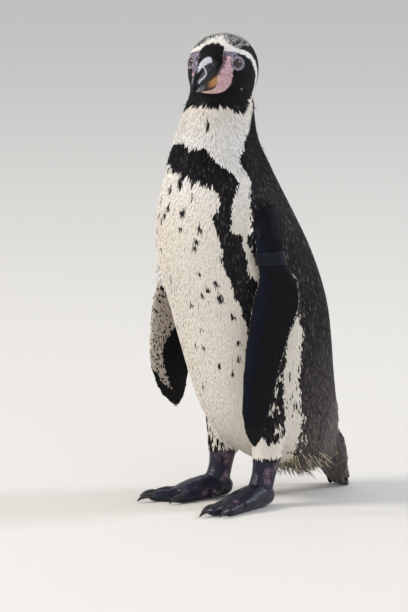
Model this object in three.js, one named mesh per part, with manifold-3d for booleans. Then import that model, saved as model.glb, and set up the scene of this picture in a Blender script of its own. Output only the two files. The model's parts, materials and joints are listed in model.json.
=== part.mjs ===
// A Humboldt penguin as a life-size still model, standing with its head turned to its left.
//
// Millimetres, +Z up. The bird faces -Y, its left side is +X and its feet stand on Z = 0.
// Body, neck, head and tail are lofted, joined into one piece and parted again with thin
// cuts. Bill, eyes, flippers, legs, feet and claws are solids that meet it with a small gap.

import * as THREE from 'three';
import { mergeVertices } from 'three/addons/utils/BufferGeometryUtils.js';
import Module from 'manifold-3d';

const wasm = await Module();
wasm.setup();

const GAP = 0.3; // clearance between pieces that touch
const at = (x, y, z) => new THREE.Vector3(x, y, z);
const { degToRad } = THREE.MathUtils;

// ---------------------------------------------------------------- driving dimensions

// Where the middle of the bird's footprint lies before it is moved to the origin.
const MIDDLE = at(-14, 17, 0);

// Horizontal sections of body and neck, from the rump up to inside the head:
// [height, front edge, back edge, half width, fullness of the oval]
const BODY_SECTIONS = [
  [27, 76, 120, 18, 2.0],
  [35, 46, 124, 29, 2.0],
  [44, 17, 126, 38.5, 2.0],
  [55, -1, 125.5, 47.5, 2.0],
  [68, -19, 124, 56.5, 2.0],
  [84, -33, 122, 64, 2.0],
  [108, -46, 114, 70, 2.1],
  [140, -58, 107.5, 74.5, 2.1],
  [178, -71, 102, 78.5, 2.1],
  [216, -84, 95, 81, 2.1],
  [252, -97, 82, 81.5, 2.1],
  [288, -106, 65, 78, 2.1],
  [322, -108, 46, 70, 2.1],
  [350, -103, 30, 61.5, 2.1],
  [376, -98, 16, 52.5, 2.1],
  [402, -92, 5, 43.5, 2.0],
  [430, -81, 1, 37, 2.0],
  [460, -70, 2, 33, 2.0],
];

// The head's own frame: origin midway between the ears, yawed to the bird's left, tipped down.
const HEAD_AT = at(0, -35, 479);
const HEAD_YAW = degToRad(28);
const HEAD_PITCH = degToRad(2);

// Sections across the head, from nape to bill: [forward, top, bottom, half width, fullness]
const HEAD_SECTIONS = [
  [-45, 8, -16, 12, 2.0],
  [-40, 18, -25, 22.5, 2.0],
  [-28, 30, -36, 32.5, 2.1],
  [-10, 37, -42, 37.2, 2.2],
  [8, 36, -42, 36.5, 2.2],
  [22, 30.5, -38, 31.5, 2.2],
  [32, 23, -32, 24, 2.1],
  [40, 14, -26, 15, 2.0],
  [45, 6, -20, 8, 2.0],
];

// Bill halves: [forward, top, bottom, half width, fullness]. Each is lofted past the line
// where they meet and cut off flat there; the upper one hooks down beyond LOWER_BILL_TIP.
const UPPER_BILL_SECTIONS = [
  [26, 15.5, -9, 10, 2.5],
  [38, 16.8, -9, 10.3, 2.5],
  [52, 14.8, -10, 9.4, 2.4],
  [66, 10.8, -11.5, 8, 2.3],
  [78, 5.4, -13, 6.4, 2.2],
  [86, 0, -14, 4.8, 2.0],
  [92, -6, -15.6, 3, 2.0],
  [95, -11, -16.8, 1.3, 2.0],
];
const LOWER_BILL_SECTIONS = [
  [26, 4, -18.5, 9.2, 2.3],
  [40, 1, -19, 9.5, 2.3],
  [54, -1, -18.6, 8.3, 2.3],
  [68, -4, -17.8, 6.6, 2.2],
  [80, -7, -17, 4.4, 2.0],
  [87.5, -10, -15.5, 2, 2.0],
];
const BILL_LINE = { forward: 28, up: -1.5, slope: degToRad(9) };
const LOWER_BILL_TIP = 89.6;

const EYE_AT = { forward: 21.5, side: 22.8, up: 7 }; // middle of the eyeball
const EYE_RADIUS = 7.2;

// Flippers, from inside the shoulder to the tip:
// [x, y, z, half chord, half thickness]; chord is the direction from front to rear edge.
const FLIPPERS = {
  left: {
    chord: at(0.34, 0.94, 0),
    stations: [
      [60, -34, 336, 18, 9],
      [75, -38, 316, 17, 8.5],
      [84, -44, 299, 16.4, 7.5],
      [87, -47, 282, 15.4, 6.6],
      [88, -43, 268, 17.5, 6],
      [89, -37, 253, 24.8, 5.6],
      [89, -38, 237, 28.8, 5.2],
      [88, -40, 222, 29.2, 4.9],
      [86.5, -46, 203, 26, 4.5],
      [85, -52, 178, 24.1, 4],
      [82, -58, 139, 20.4, 3.3],
      [79.5, -60, 112, 16.8, 2.7],
      [78, -60, 95, 12.8, 2.2],
      [77, -58, 83, 8, 1.7],
      [76, -58, 75.5, 2.5, 1],
    ],
  },
  right: {
    chord: at(0.5, 0.87, 0),
    stations: [
      [-60, -30, 328, 18, 9],
      [-76, -29, 305, 17, 8],
      [-85, -26, 283, 16.4, 7],
      [-90, -22, 260, 16.6, 6.2],
      [-93, -17, 241, 20.5, 5.8],
      [-97, -12, 220, 28, 5.3],
      [-101, -9, 203, 30, 4.9],
      [-106, -10, 178, 27.5, 4.4],
      [-111, -10, 153, 25, 3.8],
      [-115, -6, 135, 22.5, 3.3],
      [-117, -1, 120, 19.4, 2.8],
      [-120, 5, 105, 14, 2.2],
      [-121, 9, 96, 8.5, 1.7],
      [-122, 11, 90, 2.8, 1],
    ],
  },
};

// The identification band around the left flipper: heights of its edges and its thickness.
const BAND = { low: 273, high: 288, wall: 1.6 };

// Tail, from inside the rump to the tips laid on the floor: [y, z, half width, half thickness]
const TAIL_STATIONS = [
  [90.5, 91, 38, 12],
  [107, 72.5, 38, 12.8],
  [119.5, 53, 34.5, 11.6],
  [129.5, 35, 29, 8.8],
  [137, 19, 23, 6],
  [142.8, 7.8, 17.5, 3.8],
  [149, 1.4, 12, 2.4],
  [154.5, 0.6, 6.5, 1.8],
];

// Legs and feet. Toes: turn to the bird's left from straight ahead, length without claw.
const LEG_TOP = { left: at(38, 3, 92), right: at(-38, 8, 92) };
const FEET = {
  left: {
    ankle: at(39, -14, 20),
    toes: { inner: [-9, 62], middle: [4, 82], outer: [16, 71] },
    turn: 4,
  },
  right: {
    ankle: at(-39, -5, 20),
    toes: { inner: [4, 62], middle: [-18, 82], outer: [-36, 71] },
    turn: -17,
  },
};
const WEB = { low: 1.2, thick: 3.4 };
const OUTWARD = { left: 1, right: -1 };

// Cuts that part the joined body: a point on the cut and the direction it faces.
const HEAD_CUT = { point: at(0, -34, 433), facing: at(0.1, -0.3, 1) };
const NECK_CUT = { point: at(0, -42, 372), facing: at(0, -0.25, 1) };
const TAIL_CUT = { point: at(0, 112, 60), facing: at(0, 0.75, -0.66) };

// ---------------------------------------------------------------- general makers

// Numbers spread evenly from one end to the other.
const steps = (from, to, count) =>
  Array.from({ length: count + 1 }, (_, i) => from + ((to - from) * i) / count);

// A smooth reading of rows of [position, value, ...], given in rising position.
function profile(rows) {
  const slope = (i, k) => {
    const a = rows[Math.max(i - 1, 0)];
    const b = rows[Math.min(i + 1, rows.length - 1)];
    return (b[k] - a[k]) / (b[0] - a[0]);
  };
  return (position) => {
    const beyondFirst = rows.findIndex((row, i) => i > 0 && row[0] >= position);
    const i = beyondFirst < 0 ? rows.length - 1 : beyondFirst;
    const [a, b] = [rows[i - 1], rows[i]];
    const span = b[0] - a[0];
    const t = (position - a[0]) / span;
    const [h00, h10] = [(1 + 2 * t) * (1 - t) ** 2, t * (1 - t) ** 2];
    const [h01, h11] = [t * t * (3 - 2 * t), t * t * (t - 1)];
    return a.slice(1).map((value, j) => {
      const k = j + 1;
      return h00 * value + h10 * span * slope(i - 1, k) + h01 * b[k] + h11 * span * slope(i, k);
    });
  };
}

// A ring of points on an oval: middle, direction and size of its two radii, and fullness.
// Fullness 2 is an ellipse; more makes the sides fuller.
function oval(middle, wide, wideRadius, tall, tallRadius, around, fullness = 2) {
  const fuller = (value) => Math.sign(value) * Math.abs(value) ** (2 / fullness);
  return steps(0, 2 * Math.PI, around).slice(0, -1).map((angle) => middle.clone()
    .addScaledVector(wide, wideRadius * fuller(Math.sin(angle)))
    .addScaledVector(tall, tallRadius * fuller(Math.cos(angle))));
}

// One closed surface through rings of equally many points, with a fan over each end.
function loft(rings) {
  const around = rings[0].length;
  const points = rings.flat();
  const middle = (ring) => ring.reduce((sum, p) => sum.add(p), at(0, 0, 0)).divideScalar(around);
  points.push(middle(rings[0]), middle(rings.at(-1)));
  const faces = [];
  for (let r = 0; r < rings.length - 1; r++) {
    for (let i = 0; i < around; i++) {
      const [a, b] = [r * around + i, r * around + ((i + 1) % around)];
      faces.push(a, b, b + around, a, b + around, a + around);
    }
  }
  const last = (rings.length - 1) * around;
  for (let i = 0; i < around; i++) {
    const j = (i + 1) % around;
    faces.push(points.length - 2, j, i);
    faces.push(points.length - 1, last + i, last + j);
  }
  const geometry = new THREE.BufferGeometry().setFromPoints(points);
  geometry.setIndex(faces);
  return geometry;
}

// A solid from a closed geometry whose faces may all point in or all point out.
function solid(geometry) {
  const bare = geometry.clone();
  bare.deleteAttribute('normal');
  bare.deleteAttribute('uv');
  const merged = mergeVertices(bare, 1e-3);
  const triVerts = new Uint32Array(merged.index.array);
  const vertProperties = merged.attributes.position.array;
  const build = () => new wasm.Manifold(new wasm.Mesh({ numProp: 3, vertProperties, triVerts }));
  const made = build();
  if (made.volume() > 0) return made;
  for (let i = 0; i < triVerts.length; i += 3) {
    [triVerts[i + 1], triVerts[i + 2]] = [triVerts[i + 2], triVerts[i + 1]];
  }
  return build();
}

function geometryOf(made) {
  const { vertProperties, triVerts } = made.getMesh();
  const geometry = new THREE.BufferGeometry();
  geometry.setAttribute('position', new THREE.BufferAttribute(new Float32Array(vertProperties), 3));
  geometry.setIndex(new THREE.BufferAttribute(new Uint32Array(triVerts), 1));
  geometry.computeVertexNormals();
  return geometry;
}

// The part of a solid beyond a plane, moved off the plane by half a gap.
function beyond(made, { point, facing }, sign) {
  const normal = facing.clone().normalize().multiplyScalar(sign);
  return made.trimByPlane(normal.toArray(), normal.dot(point) + GAP / 2);
}

const aboveFloor = (made) => made.trimByPlane([0, 0, 1], 0);

// A solid through stations { at, wide, thick }, whose wide radius lies along `across`.
function limb(stations, around, across, grow = 0) {
  const points = stations.map((station) => station.at);
  const rings = stations.map(({ at: middle, wide, thick }, i) => {
    const along = points[Math.min(i + 1, points.length - 1)].clone()
      .sub(points[Math.max(i - 1, 0)]).normalize();
    const side = across.clone().addScaledVector(along, -across.dot(along)).normalize();
    const tall = at(0, 0, 0).crossVectors(along, side);
    return oval(middle, side, wide + grow, tall, thick + grow, around);
  });
  return solid(loft(rings));
}

// ---------------------------------------------------------------- body, neck, head and bill

function body(grow = 0) {
  const section = profile(BODY_SECTIONS);
  const [low, high] = [BODY_SECTIONS[0][0], BODY_SECTIONS.at(-1)[0]];
  const heights = [...steps(low, 84, 5), ...steps(103, high, 18)];
  return solid(loft(heights.map((height) => {
    const [front, back, halfWidth, fullness] = section(height);
    const [middle, halfDepth] = [(front + back) / 2, (back - front) / 2];
    return oval(at(0, middle, height), at(1, 0, 0), halfWidth + grow,
      at(0, 1, 0), halfDepth + grow, 34, fullness);
  })));
}

const headTurn = new THREE.Matrix4().compose(
  HEAD_AT,
  new THREE.Quaternion().setFromEuler(new THREE.Euler(HEAD_PITCH, 0, HEAD_YAW, 'ZYX')),
  at(1, 1, 1));

// A part of the head, lofted along the head's own forward axis (-Y before it turns).
function alongHead(sections, around, stations, grow = 0) {
  const section = profile(sections);
  const [back, front] = [sections[0][0], sections.at(-1)[0]];
  const rings = steps(back, front, stations).map((forward) => {
    const [top, bottom, halfWidth, fullness] = section(forward);
    const [middle, halfHeight] = [(top + bottom) / 2, (top - bottom) / 2];
    return oval(at(0, -forward, middle), at(1, 0, 0), halfWidth + grow,
      at(0, 0, 1), halfHeight + grow, around, fullness);
  });
  return solid(loft(rings).applyMatrix4(headTurn));
}

// Everything under the line where the bill halves meet, as far forward as `front`.
function underBillLine(front, drop = 0) {
  const { forward, up, slope } = BILL_LINE;
  const block = new THREE.BoxGeometry(60, front + 20, 60).translate(0, 10 - front / 2, -30);
  block.translate(0, forward, 0).rotateX(slope).translate(0, -forward, up - drop);
  return solid(block.applyMatrix4(headTurn));
}

const head = (grow = 0) => alongHead(HEAD_SECTIONS, 28, 16, grow);

function eyeball(side, grow = 0) {
  const ball = new THREE.SphereGeometry(EYE_RADIUS + grow, 12, 8);
  ball.translate(OUTWARD[side] * EYE_AT.side, -EYE_AT.forward, EYE_AT.up);
  return solid(ball.applyMatrix4(headTurn));
}

function tail() {
  const stations = TAIL_STATIONS.map(([y, z, wide, thick]) => ({ at: at(0, y, z), wide, thick }));
  return aboveFloor(limb(stations, 18, at(1, 0, 0)));
}

// ---------------------------------------------------------------- flippers and band

function flipper(side, grow = 0) {
  const { chord, stations } = FLIPPERS[side];
  const placed = stations.map(([x, y, z, wide, thick]) => ({ at: at(x, y, z), wide, thick }));
  return limb(placed, 12, chord, grow);
}

function flipperBand() {
  return flipper('left', GAP + BAND.wall).subtract(flipper('left', GAP))
    .trimByPlane([0, 0, 1], BAND.low)
    .trimByPlane([0, 0, -1], -BAND.high);
}

// ---------------------------------------------------------------- legs and feet

function shank(side, grow = 0) {
  const top = LEG_TOP[side];
  const { ankle } = FEET[side];
  const stations = [
    { at: top, wide: 23, thick: 25 },
    { at: top.clone().lerp(ankle, 0.3), wide: 18.5, thick: 20.5 },
    { at: top.clone().lerp(ankle, 0.57).add(at(0, 2, 0)), wide: 14.5, thick: 16 },
    { at: top.clone().lerp(ankle, 0.8).add(at(0, 2, 0)), wide: 12.5, thick: 14 },
    { at: ankle, wide: 12.5, thick: 14.5 },
    { at: ankle.clone().add(at(0, -1, -9)), wide: 11.5, thick: 12.5 },
  ];
  return limb(stations, 12, at(1, 0, 0), grow);
}

// A point in a foot: turned from straight ahead, so far from the ankle, at a height.
function footPoint(side, turn, distance, height) {
  const { ankle } = FEET[side];
  const angle = degToRad(turn);
  return at(ankle.x + distance * Math.sin(angle), ankle.y - distance * Math.cos(angle), height);
}

const levelAcross = (turn) => at(Math.cos(degToRad(turn)), Math.sin(degToRad(turn)), 0);

function toe(side, name) {
  const [turn, length] = FEET[side].toes[name];
  const rows = [[0.35, 7, 8.5, 8], [0.55, 7, 8.2, 7.5], [0.7, 6, 7.2, 6.3], [0.8, 6.2, 7.3, 6.4],
    [0.92, 5.2, 6.2, 5.4], [1, 4.6, 3.8, 3.4]];
  const stations = rows.map(([share, height, wide, thick]) => (
    { at: footPoint(side, turn, share * length, height), wide, thick }));
  return limb(stations, 8, levelAcross(turn));
}

function claw(side, name, grow = 0) {
  const [turn, length] = FEET[side].toes[name];
  const rows = [[-6, 5.4, 3.2, 2.8], [1, 6.2, 3.3, 3], [6, 6, 2.7, 2.6], [11, 4.4, 1.8, 1.9],
    [15, 1.8, 0.7, 0.8]];
  const stations = rows.map(([past, height, wide, thick]) => (
    { at: footPoint(side, turn, length + past, height), wide, thick }));
  return limb(stations, 7, levelAcross(turn), grow);
}

// The small first toe, which points inwards and forwards from the inner side of the ankle:
// stations of [distance from its root, height, radius]
function halluxStations(side, rows) {
  const { turn } = FEET[side];
  return rows.map(([past, height, radius]) => ({
    at: footPoint(side, turn, 4 + past * 0.75, height)
      .addScaledVector(levelAcross(turn), -OUTWARD[side] * (13 + past * 0.6)),
    wide: radius,
    thick: radius,
  }));
}

function hallux(side) {
  const rows = [[-5, 10, 3.4], [0, 9, 3.6], [7, 7.2, 3.4], [11, 6.4, 2.6]];
  return limb(halluxStations(side, rows), 6, at(0, 0, 1));
}

function halluxClaw(side, grow = 0) {
  const rows = [[8, 7, 1.8], [13, 5.8, 1.7], [16, 4.4, 1.2], [18.5, 2.4, 0.5]];
  return limb(halluxStations(side, rows), 8, at(0, 0, 1), grow);
}

// The webs: one thin sheet whose front edge dips between the toes.
function webs(side) {
  const { toes } = FEET[side];
  const order = side === 'left' ? ['inner', 'middle', 'outer'] : ['outer', 'middle', 'inner'];
  const edge = [];
  order.forEach((name, i) => {
    const [angle, length] = toes[name];
    if (i) {
      const [angleBefore, lengthBefore] = toes[order[i - 1]];
      edge.push([(angle + angleBefore) / 2, ((length + lengthBefore) / 2) * 0.88]);
    }
    edge.push([angle, length * 0.95]);
  });
  const corners = [...edge, [edge.at(-1)[0], 24], [edge[0][0], 24]].map(([angle, distance]) => {
    const corner = footPoint(side, angle, distance, 0);
    return new THREE.Vector2(corner.x, corner.y);
  });
  const sheet = new THREE.ExtrudeGeometry(new THREE.Shape(corners), {
    depth: WEB.thick, bevelEnabled: false });
  return solid(sheet.translate(0, 0, WEB.low));
}

// Sole, toes and webs in one piece, with a flat underside on the floor.
function foot(side) {
  const { turn, toes } = FEET[side];
  const rows = [[-16, 10, 7, 7], [-11, 11, 11, 10.5], [2, 13, 14.5, 13.5], [16, 12.4, 16.5, 13],
    [30, 10.6, 19, 11.2], [42, 8.6, 18.5, 8.8], [50, 7, 13, 6]];
  const stations = rows.map(([distance, height, wide, thick]) => (
    { at: footPoint(side, turn, distance, height), wide, thick }));
  const pad = limb(stations, 12, levelAcross(turn));
  const names = Object.keys(toes);
  const flesh = names.reduce((made, name) => made.add(toe(side, name)), pad.add(hallux(side)));
  const sockets = names.reduce((made, name) => made.add(claw(side, name, GAP)),
    shank(side, GAP).add(halluxClaw(side, GAP)));
  return aboveFloor(flesh.add(webs(side))).subtract(sockets);
}

// ---------------------------------------------------------------- materials

const finish = (color, roughness) =>
  new THREE.MeshStandardMaterial({ color, roughness, metalness: 0 });
const whitePlumage = finish(0xe6e0d2, 0.85);
const darkPlumage = finish(0x1c1d22, 0.7);
const billHorn = finish(0x1e1f24, 0.4);
const eyeGloss = finish(0x2a1a14, 0.08);
const footSkin = finish(0x23222a, 0.6);
const clawHorn = finish(0x141316, 0.35);
const bandStrap = finish(0x12141c, 0.45);

// ---------------------------------------------------------------- assembly

const bird = new THREE.Group();

function add(name, made, material) {
  const mesh = new THREE.Mesh(geometryOf(made), material);
  mesh.name = name;
  mesh.position.copy(MIDDLE).negate();
  bird.add(mesh);
}

const sockets = eyeball('left', GAP).add(eyeball('right', GAP));
const torso = body().add(tail());
const joined = torso.add(head()).subtract(sockets);
const upper = beyond(joined, NECK_CUT, 1);
add('head', beyond(upper, HEAD_CUT, 1), darkPlumage);
add('neck', beyond(upper, HEAD_CUT, -1), whitePlumage);
const lower = beyond(joined, NECK_CUT, -1);
add('trunk', beyond(lower, TAIL_CUT, -1), whitePlumage);
add('tail', beyond(lower, TAIL_CUT, 1), darkPlumage);
const billBelow = alongHead(LOWER_BILL_SECTIONS, 16, 8).intersect(underBillLine(200, GAP));
const billAbove = alongHead(UPPER_BILL_SECTIONS, 16, 10).subtract(underBillLine(LOWER_BILL_TIP));
add('bill_upper', billAbove.subtract(head(GAP)), billHorn);
add('bill_lower', billBelow.subtract(head(GAP)), billHorn);
add('flipper_band', flipperBand(), bandStrap);

for (const side of ['left', 'right']) {
  add(`eye_${side}`, eyeball(side), eyeGloss);
  add(`flipper_${side}`, flipper(side).subtract(body(GAP)), darkPlumage);
  add(`leg_${side}`, shank(side).subtract(body(GAP)), footSkin);
  add(`foot_${side}`, foot(side), footSkin);
  add(`claw_hallux_${side}`, halluxClaw(side), clawHorn);
  for (const name of ['inner', 'middle', 'outer']) {
    add(`claw_${name}_${side}`, claw(side, name), clawHorn);
  }
}

export default bird;
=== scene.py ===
# %% [markdown]
# # A Humboldt penguin, standing still
# The solids carry the true shape of the bird. This script dresses them: one skin, a coat
# of small stiff feathers, a horny bill, glossy eyes, claws and the band on its left flipper.
# Everything is measured in millimetres from the bird's own middle and then moved to its place.

# %% Load the frame
import bpy, bmesh, json, math
import numpy as np
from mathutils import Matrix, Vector
from mathutils.bvhtree import BVHTree
from mathutils.kdtree import KDTree

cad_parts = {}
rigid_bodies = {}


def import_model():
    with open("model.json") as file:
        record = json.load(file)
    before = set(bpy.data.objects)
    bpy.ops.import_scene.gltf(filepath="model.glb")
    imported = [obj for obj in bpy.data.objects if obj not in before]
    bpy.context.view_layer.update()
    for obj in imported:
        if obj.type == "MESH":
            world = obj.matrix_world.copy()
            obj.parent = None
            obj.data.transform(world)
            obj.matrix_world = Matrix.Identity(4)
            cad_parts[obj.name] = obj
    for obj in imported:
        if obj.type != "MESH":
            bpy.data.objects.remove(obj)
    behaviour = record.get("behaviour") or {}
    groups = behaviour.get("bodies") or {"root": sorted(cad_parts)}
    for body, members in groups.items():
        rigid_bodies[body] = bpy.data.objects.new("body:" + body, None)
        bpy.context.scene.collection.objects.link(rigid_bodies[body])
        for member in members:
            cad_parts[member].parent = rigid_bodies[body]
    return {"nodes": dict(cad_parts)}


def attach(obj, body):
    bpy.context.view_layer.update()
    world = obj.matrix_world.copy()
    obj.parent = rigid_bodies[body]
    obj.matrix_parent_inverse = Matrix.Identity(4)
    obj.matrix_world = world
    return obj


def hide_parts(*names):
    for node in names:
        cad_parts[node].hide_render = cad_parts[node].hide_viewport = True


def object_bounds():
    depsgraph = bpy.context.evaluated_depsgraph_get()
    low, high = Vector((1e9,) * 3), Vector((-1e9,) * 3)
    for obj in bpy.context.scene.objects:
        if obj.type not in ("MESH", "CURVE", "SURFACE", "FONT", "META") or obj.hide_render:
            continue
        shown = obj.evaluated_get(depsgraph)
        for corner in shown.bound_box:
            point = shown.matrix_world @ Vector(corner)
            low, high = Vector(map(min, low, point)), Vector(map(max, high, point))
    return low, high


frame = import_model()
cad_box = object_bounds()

MIDDLE = np.array([-14.0, 17.0, 0.0])   # where the frame's own middle lies on the bird, in mm

def placed(points):
    """Millimetres on the bird to metres in the frame."""
    return (np.asarray(points, float) - MIDDLE) * 0.001

def on_bird(points):
    """Metres in the frame to millimetres on the bird."""
    return np.asarray(points, float) * 1000 + MIDDLE

def unit(vectors):
    vectors = np.asarray(vectors, float)
    return vectors / np.maximum(np.linalg.norm(vectors, axis=-1, keepdims=True), 1e-9)

def fade(value, start, run):
    """0 at the start and 1 after the run. Where the run is below 0 it goes the other way."""
    return np.clip((value - start) / run, 0, 1)

def hump(value, middle, width, power=2):
    """1 at the middle and 0 well beside it. A higher power gives a flatter top."""
    return np.exp(-((value - middle) / width) ** power)

print("CAD box", cad_box)

# %% [markdown]
# ## The camera
# It is made first, so that everything after it can be judged in the same view: from the
# bird's left front, a little above, through a long lens.

# %% Camera
turn, rise = math.radians(47), math.radians(8)
back = np.array([math.sin(turn) * math.cos(rise), -math.cos(turn) * math.cos(rise), math.sin(rise)])
right = np.array([math.cos(turn), math.sin(turn), 0.0])
up = np.cross(back, right)
WIDE, HIGH = 408, 612                # the picture, in dots
ACROSS, DOWN = 245, 500              # where the bird's own middle falls in it
MM_PER_DOT = 1.1
look_at = right * (WIDE / 2 - ACROSS) * MM_PER_DOT + up * (DOWN - HIGH / 2) * MM_PER_DOT
view_distance = 5000.0
camera = bpy.data.objects.new("camera", bpy.data.cameras.new("camera"))
camera.data.sensor_fit = "VERTICAL"
camera.data.sensor_height = 24
camera.data.lens = 24 * view_distance / (HIGH * MM_PER_DOT)
camera.data.clip_end = 50
camera.location = placed(look_at + back * view_distance)
camera.rotation_euler = Vector(back).to_track_quat("Z", "Y").to_euler()
bpy.context.scene.collection.objects.link(camera)
bpy.context.scene.camera = camera
print("lens", round(camera.data.lens, 1), "mm")

# %% [markdown]
# ## Nodes and colours
# A material is a small tree of nodes. One helper adds a node, sets it and links it, and one
# turns the usual sRGB hex colours into the linear ones that Blender works in.

# %% Helpers for materials
def linear(code):
    """sRGB hex to linear red, green, blue and alpha."""
    parts = [int(code[i:i + 2], 16) / 255 for i in (1, 3, 5)]
    return tuple(p / 12.92 if p <= 0.04045 else ((p + 0.055) / 1.055) ** 2.4 for p in parts) + (1.0,)

def add(tree, kind, inputs=None, stops=None, **settings):
    """Adds one node with its settings. An input is a value, a hex colour or another node's
    socket; stops are places from 0 to 1 on a ramp, each with its hex colour."""
    node = tree.nodes.new("ShaderNode" + kind)
    for name, value in settings.items():
        setattr(node, name, value)
    for name, value in (inputs or {}).items():
        if isinstance(value, bpy.types.NodeSocket):
            tree.links.new(value, node.inputs[name])
        else:
            node.inputs[name].default_value = linear(value) if isinstance(value, str) else value
    if stops:
        ramp = node.color_ramp.elements
        while len(ramp) < len(stops):
            ramp.new(0.5)
        for element, (place, colour) in zip(ramp, stops):
            element.position, element.color = place, linear(colour)
    return node

def scale_of(size):
    """The scale of a pattern whose cells are so many millimetres wide, in metres of the frame."""
    return 1000 / size

def new_material(name):
    """An empty material and its tree, with the shader already joined to the output."""
    material = bpy.data.materials.new(name)
    material.use_nodes = True
    tree = material.node_tree
    tree.nodes.clear()
    shader = add(tree, "BsdfPrincipled")
    output = add(tree, "OutputMaterial")
    tree.links.new(shader.outputs[0], output.inputs["Surface"])
    return material, tree, shader

print("middle grey is", round(linear("#808080")[0], 3), "in linear light")

# %% [markdown]
# ## Measures of the bird
# The body is read from sections up its height: where its front and back are, how wide it is
# and how full. The head has its own sections along the line of its bill, and is turned to
# the bird's left. A smooth curve through the sections gives the shape at any height.

# %% Sections of body and head
# height, front, back, half width, fullness
BODY = [
    [27, 76, 120, 18, 2.0], [35, 46, 124, 29, 2.0], [44, 17, 126, 38.5, 2.0],
    [55, -1, 125.5, 47.5, 2.0], [68, -19, 124, 56.5, 2.0], [84, -33, 122, 64, 2.0],
    [108, -46, 114, 70, 2.1], [140, -58, 107.5, 74.5, 2.1], [178, -71, 102, 78.5, 2.1],
    [216, -84, 95, 81, 2.1], [252, -97, 82, 81.5, 2.1], [288, -106, 65, 78, 2.1],
    [322, -108, 46, 70, 2.1], [350, -103, 30, 61.5, 2.1], [376, -98, 16, 52.5, 2.1],
    [402, -92, 5, 43.5, 2.0], [430, -81, 1, 37, 2.0], [460, -70, 2, 33, 2.0]]
# forward, top, bottom, half width, fullness
HEAD = [
    [-45, 8, -16, 12, 2.0], [-40, 18, -25, 22.5, 2.0], [-28, 30, -36, 32.5, 2.1],
    [-10, 37, -42, 37.2, 2.2], [8, 36, -42, 36.5, 2.2], [22, 30.5, -38, 31.5, 2.2],
    [32, 23, -32, 24, 2.1], [40, 14, -26, 15, 2.0], [45, 6, -20, 8, 2.0]]
HEAD_AT = np.array([0.0, -35.0, 479.0])
yaw, pitch = math.radians(28), math.radians(2)       # turned to the bird's left, and nodding
AHEAD = np.array([math.sin(yaw) * math.cos(pitch), -math.cos(yaw) * math.cos(pitch), -math.sin(pitch)])
LEFT = np.array([math.cos(yaw), math.sin(yaw), 0.0])
OVER = np.cross(LEFT, -AHEAD)

def profile(rows, where):
    """Reads every column of the rows at the given places, on a smooth curve through them."""
    rows = np.array(rows, float)
    before = np.maximum(np.arange(len(rows)) - 1, 0)
    after = np.minimum(np.arange(len(rows)) + 1, len(rows) - 1)
    slope = (rows[after] - rows[before]) / (rows[after, :1] - rows[before, :1])
    where = np.asarray(where, float)
    i = np.clip(np.searchsorted(rows[:, 0], where) - 1, 0, len(rows) - 2)
    span = (rows[i + 1, 0] - rows[i, 0])[:, None]
    t = (where[:, None] - rows[i, :1]) / span
    return ((1 + 2 * t) * (1 - t) ** 2 * rows[i] + t * (1 - t) ** 2 * span * slope[i]
            + t * t * (3 - 2 * t) * rows[i + 1] + t * t * (t - 1) * span * slope[i + 1])[:, 1:]

def fuller(value, fullness):
    """Pushes a sine or cosine outward, so that a round section becomes a fuller one."""
    return np.sign(value) * np.abs(value) ** (2 / fullness)

def from_head(ahead, left, over):
    """A point given along, across and above the head."""
    ahead, left, over = [np.asarray(v, float)[..., None] for v in (ahead, left, over)]
    return HEAD_AT + ahead * AHEAD + left * LEFT + over * OVER

def to_head(points):
    """How far each point is ahead, left of and above the head's middle."""
    offset = points - HEAD_AT
    return offset @ AHEAD, offset @ LEFT, offset @ OVER

print(len(BODY), "sections of the body,", len(HEAD), "of the head")

# %% Turn rings of points into a closed mesh
def loft(rings):
    """Vertices and faces of a closed skin through rings of equal count."""
    rings = np.asarray(rings, float)
    count, around = rings.shape[:2]
    points = np.vstack([rings.reshape(-1, 3), rings[0].mean(0), rings[-1].mean(0)])
    faces = []
    for i in range(count - 1):
        for j in range(around):
            k = (j + 1) % around
            faces.append((i * around + j, i * around + k, (i + 1) * around + k, (i + 1) * around + j))
    for j in range(around):
        k = (j + 1) % around
        faces.append((count * around, k, j))
        faces.append((count * around + 1, (count - 1) * around + j, (count - 1) * around + k))
    return points, faces

def body_rings(around=120, stations=150):
    """Level rings of the body from between the legs to the top of the neck."""
    heights = np.linspace(BODY[0][0], BODY[-1][0], stations)
    front, rear, half, full = profile(BODY, heights).T
    angle = np.linspace(0, 2 * np.pi, around, endpoint=False)
    rings = []
    for z, f, r, w, n in zip(heights, front, rear, half, full):
        x = w * fuller(np.sin(angle), n)
        y = (f + r) / 2 - (r - f) / 2 * fuller(np.cos(angle), n)
        rings.append(np.stack([x, y, np.full(around, z)], 1))
    return rings

def head_rings(around=96, stations=60):
    """Rings of the head from its back to the root of the bill."""
    places = np.linspace(HEAD[0][0], HEAD[-1][0], stations)
    top, bottom, half, full = profile(HEAD, places).T
    angle = np.linspace(0, 2 * np.pi, around, endpoint=False)
    rings = []
    for f, t, b, w, n in zip(places, top, bottom, half, full):
        left = w * fuller(np.sin(angle), n)
        over = (t + b) / 2 + (t - b) / 2 * fuller(np.cos(angle), n)
        rings.append(from_head(np.full(around, f), left, over))
    return rings

def new_object(name, points, faces, material=None):
    """A mesh object from millimetres on the bird."""
    mesh = bpy.data.meshes.new(name)
    mesh.from_pydata(placed(points).tolist(), [], [tuple(f) for f in faces])
    tidy = bmesh.new()
    tidy.from_mesh(mesh)
    bmesh.ops.recalc_face_normals(tidy, faces=tidy.faces)
    tidy.to_mesh(mesh)
    tidy.free()
    thing = bpy.data.objects.new(name, mesh)
    bpy.context.scene.collection.objects.link(thing)
    if material:
        mesh.materials.append(material)
    mesh.shade_smooth()
    return thing

print("rings of the body:", len(body_rings()), "rings of the head:", len(head_rings()))

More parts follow.
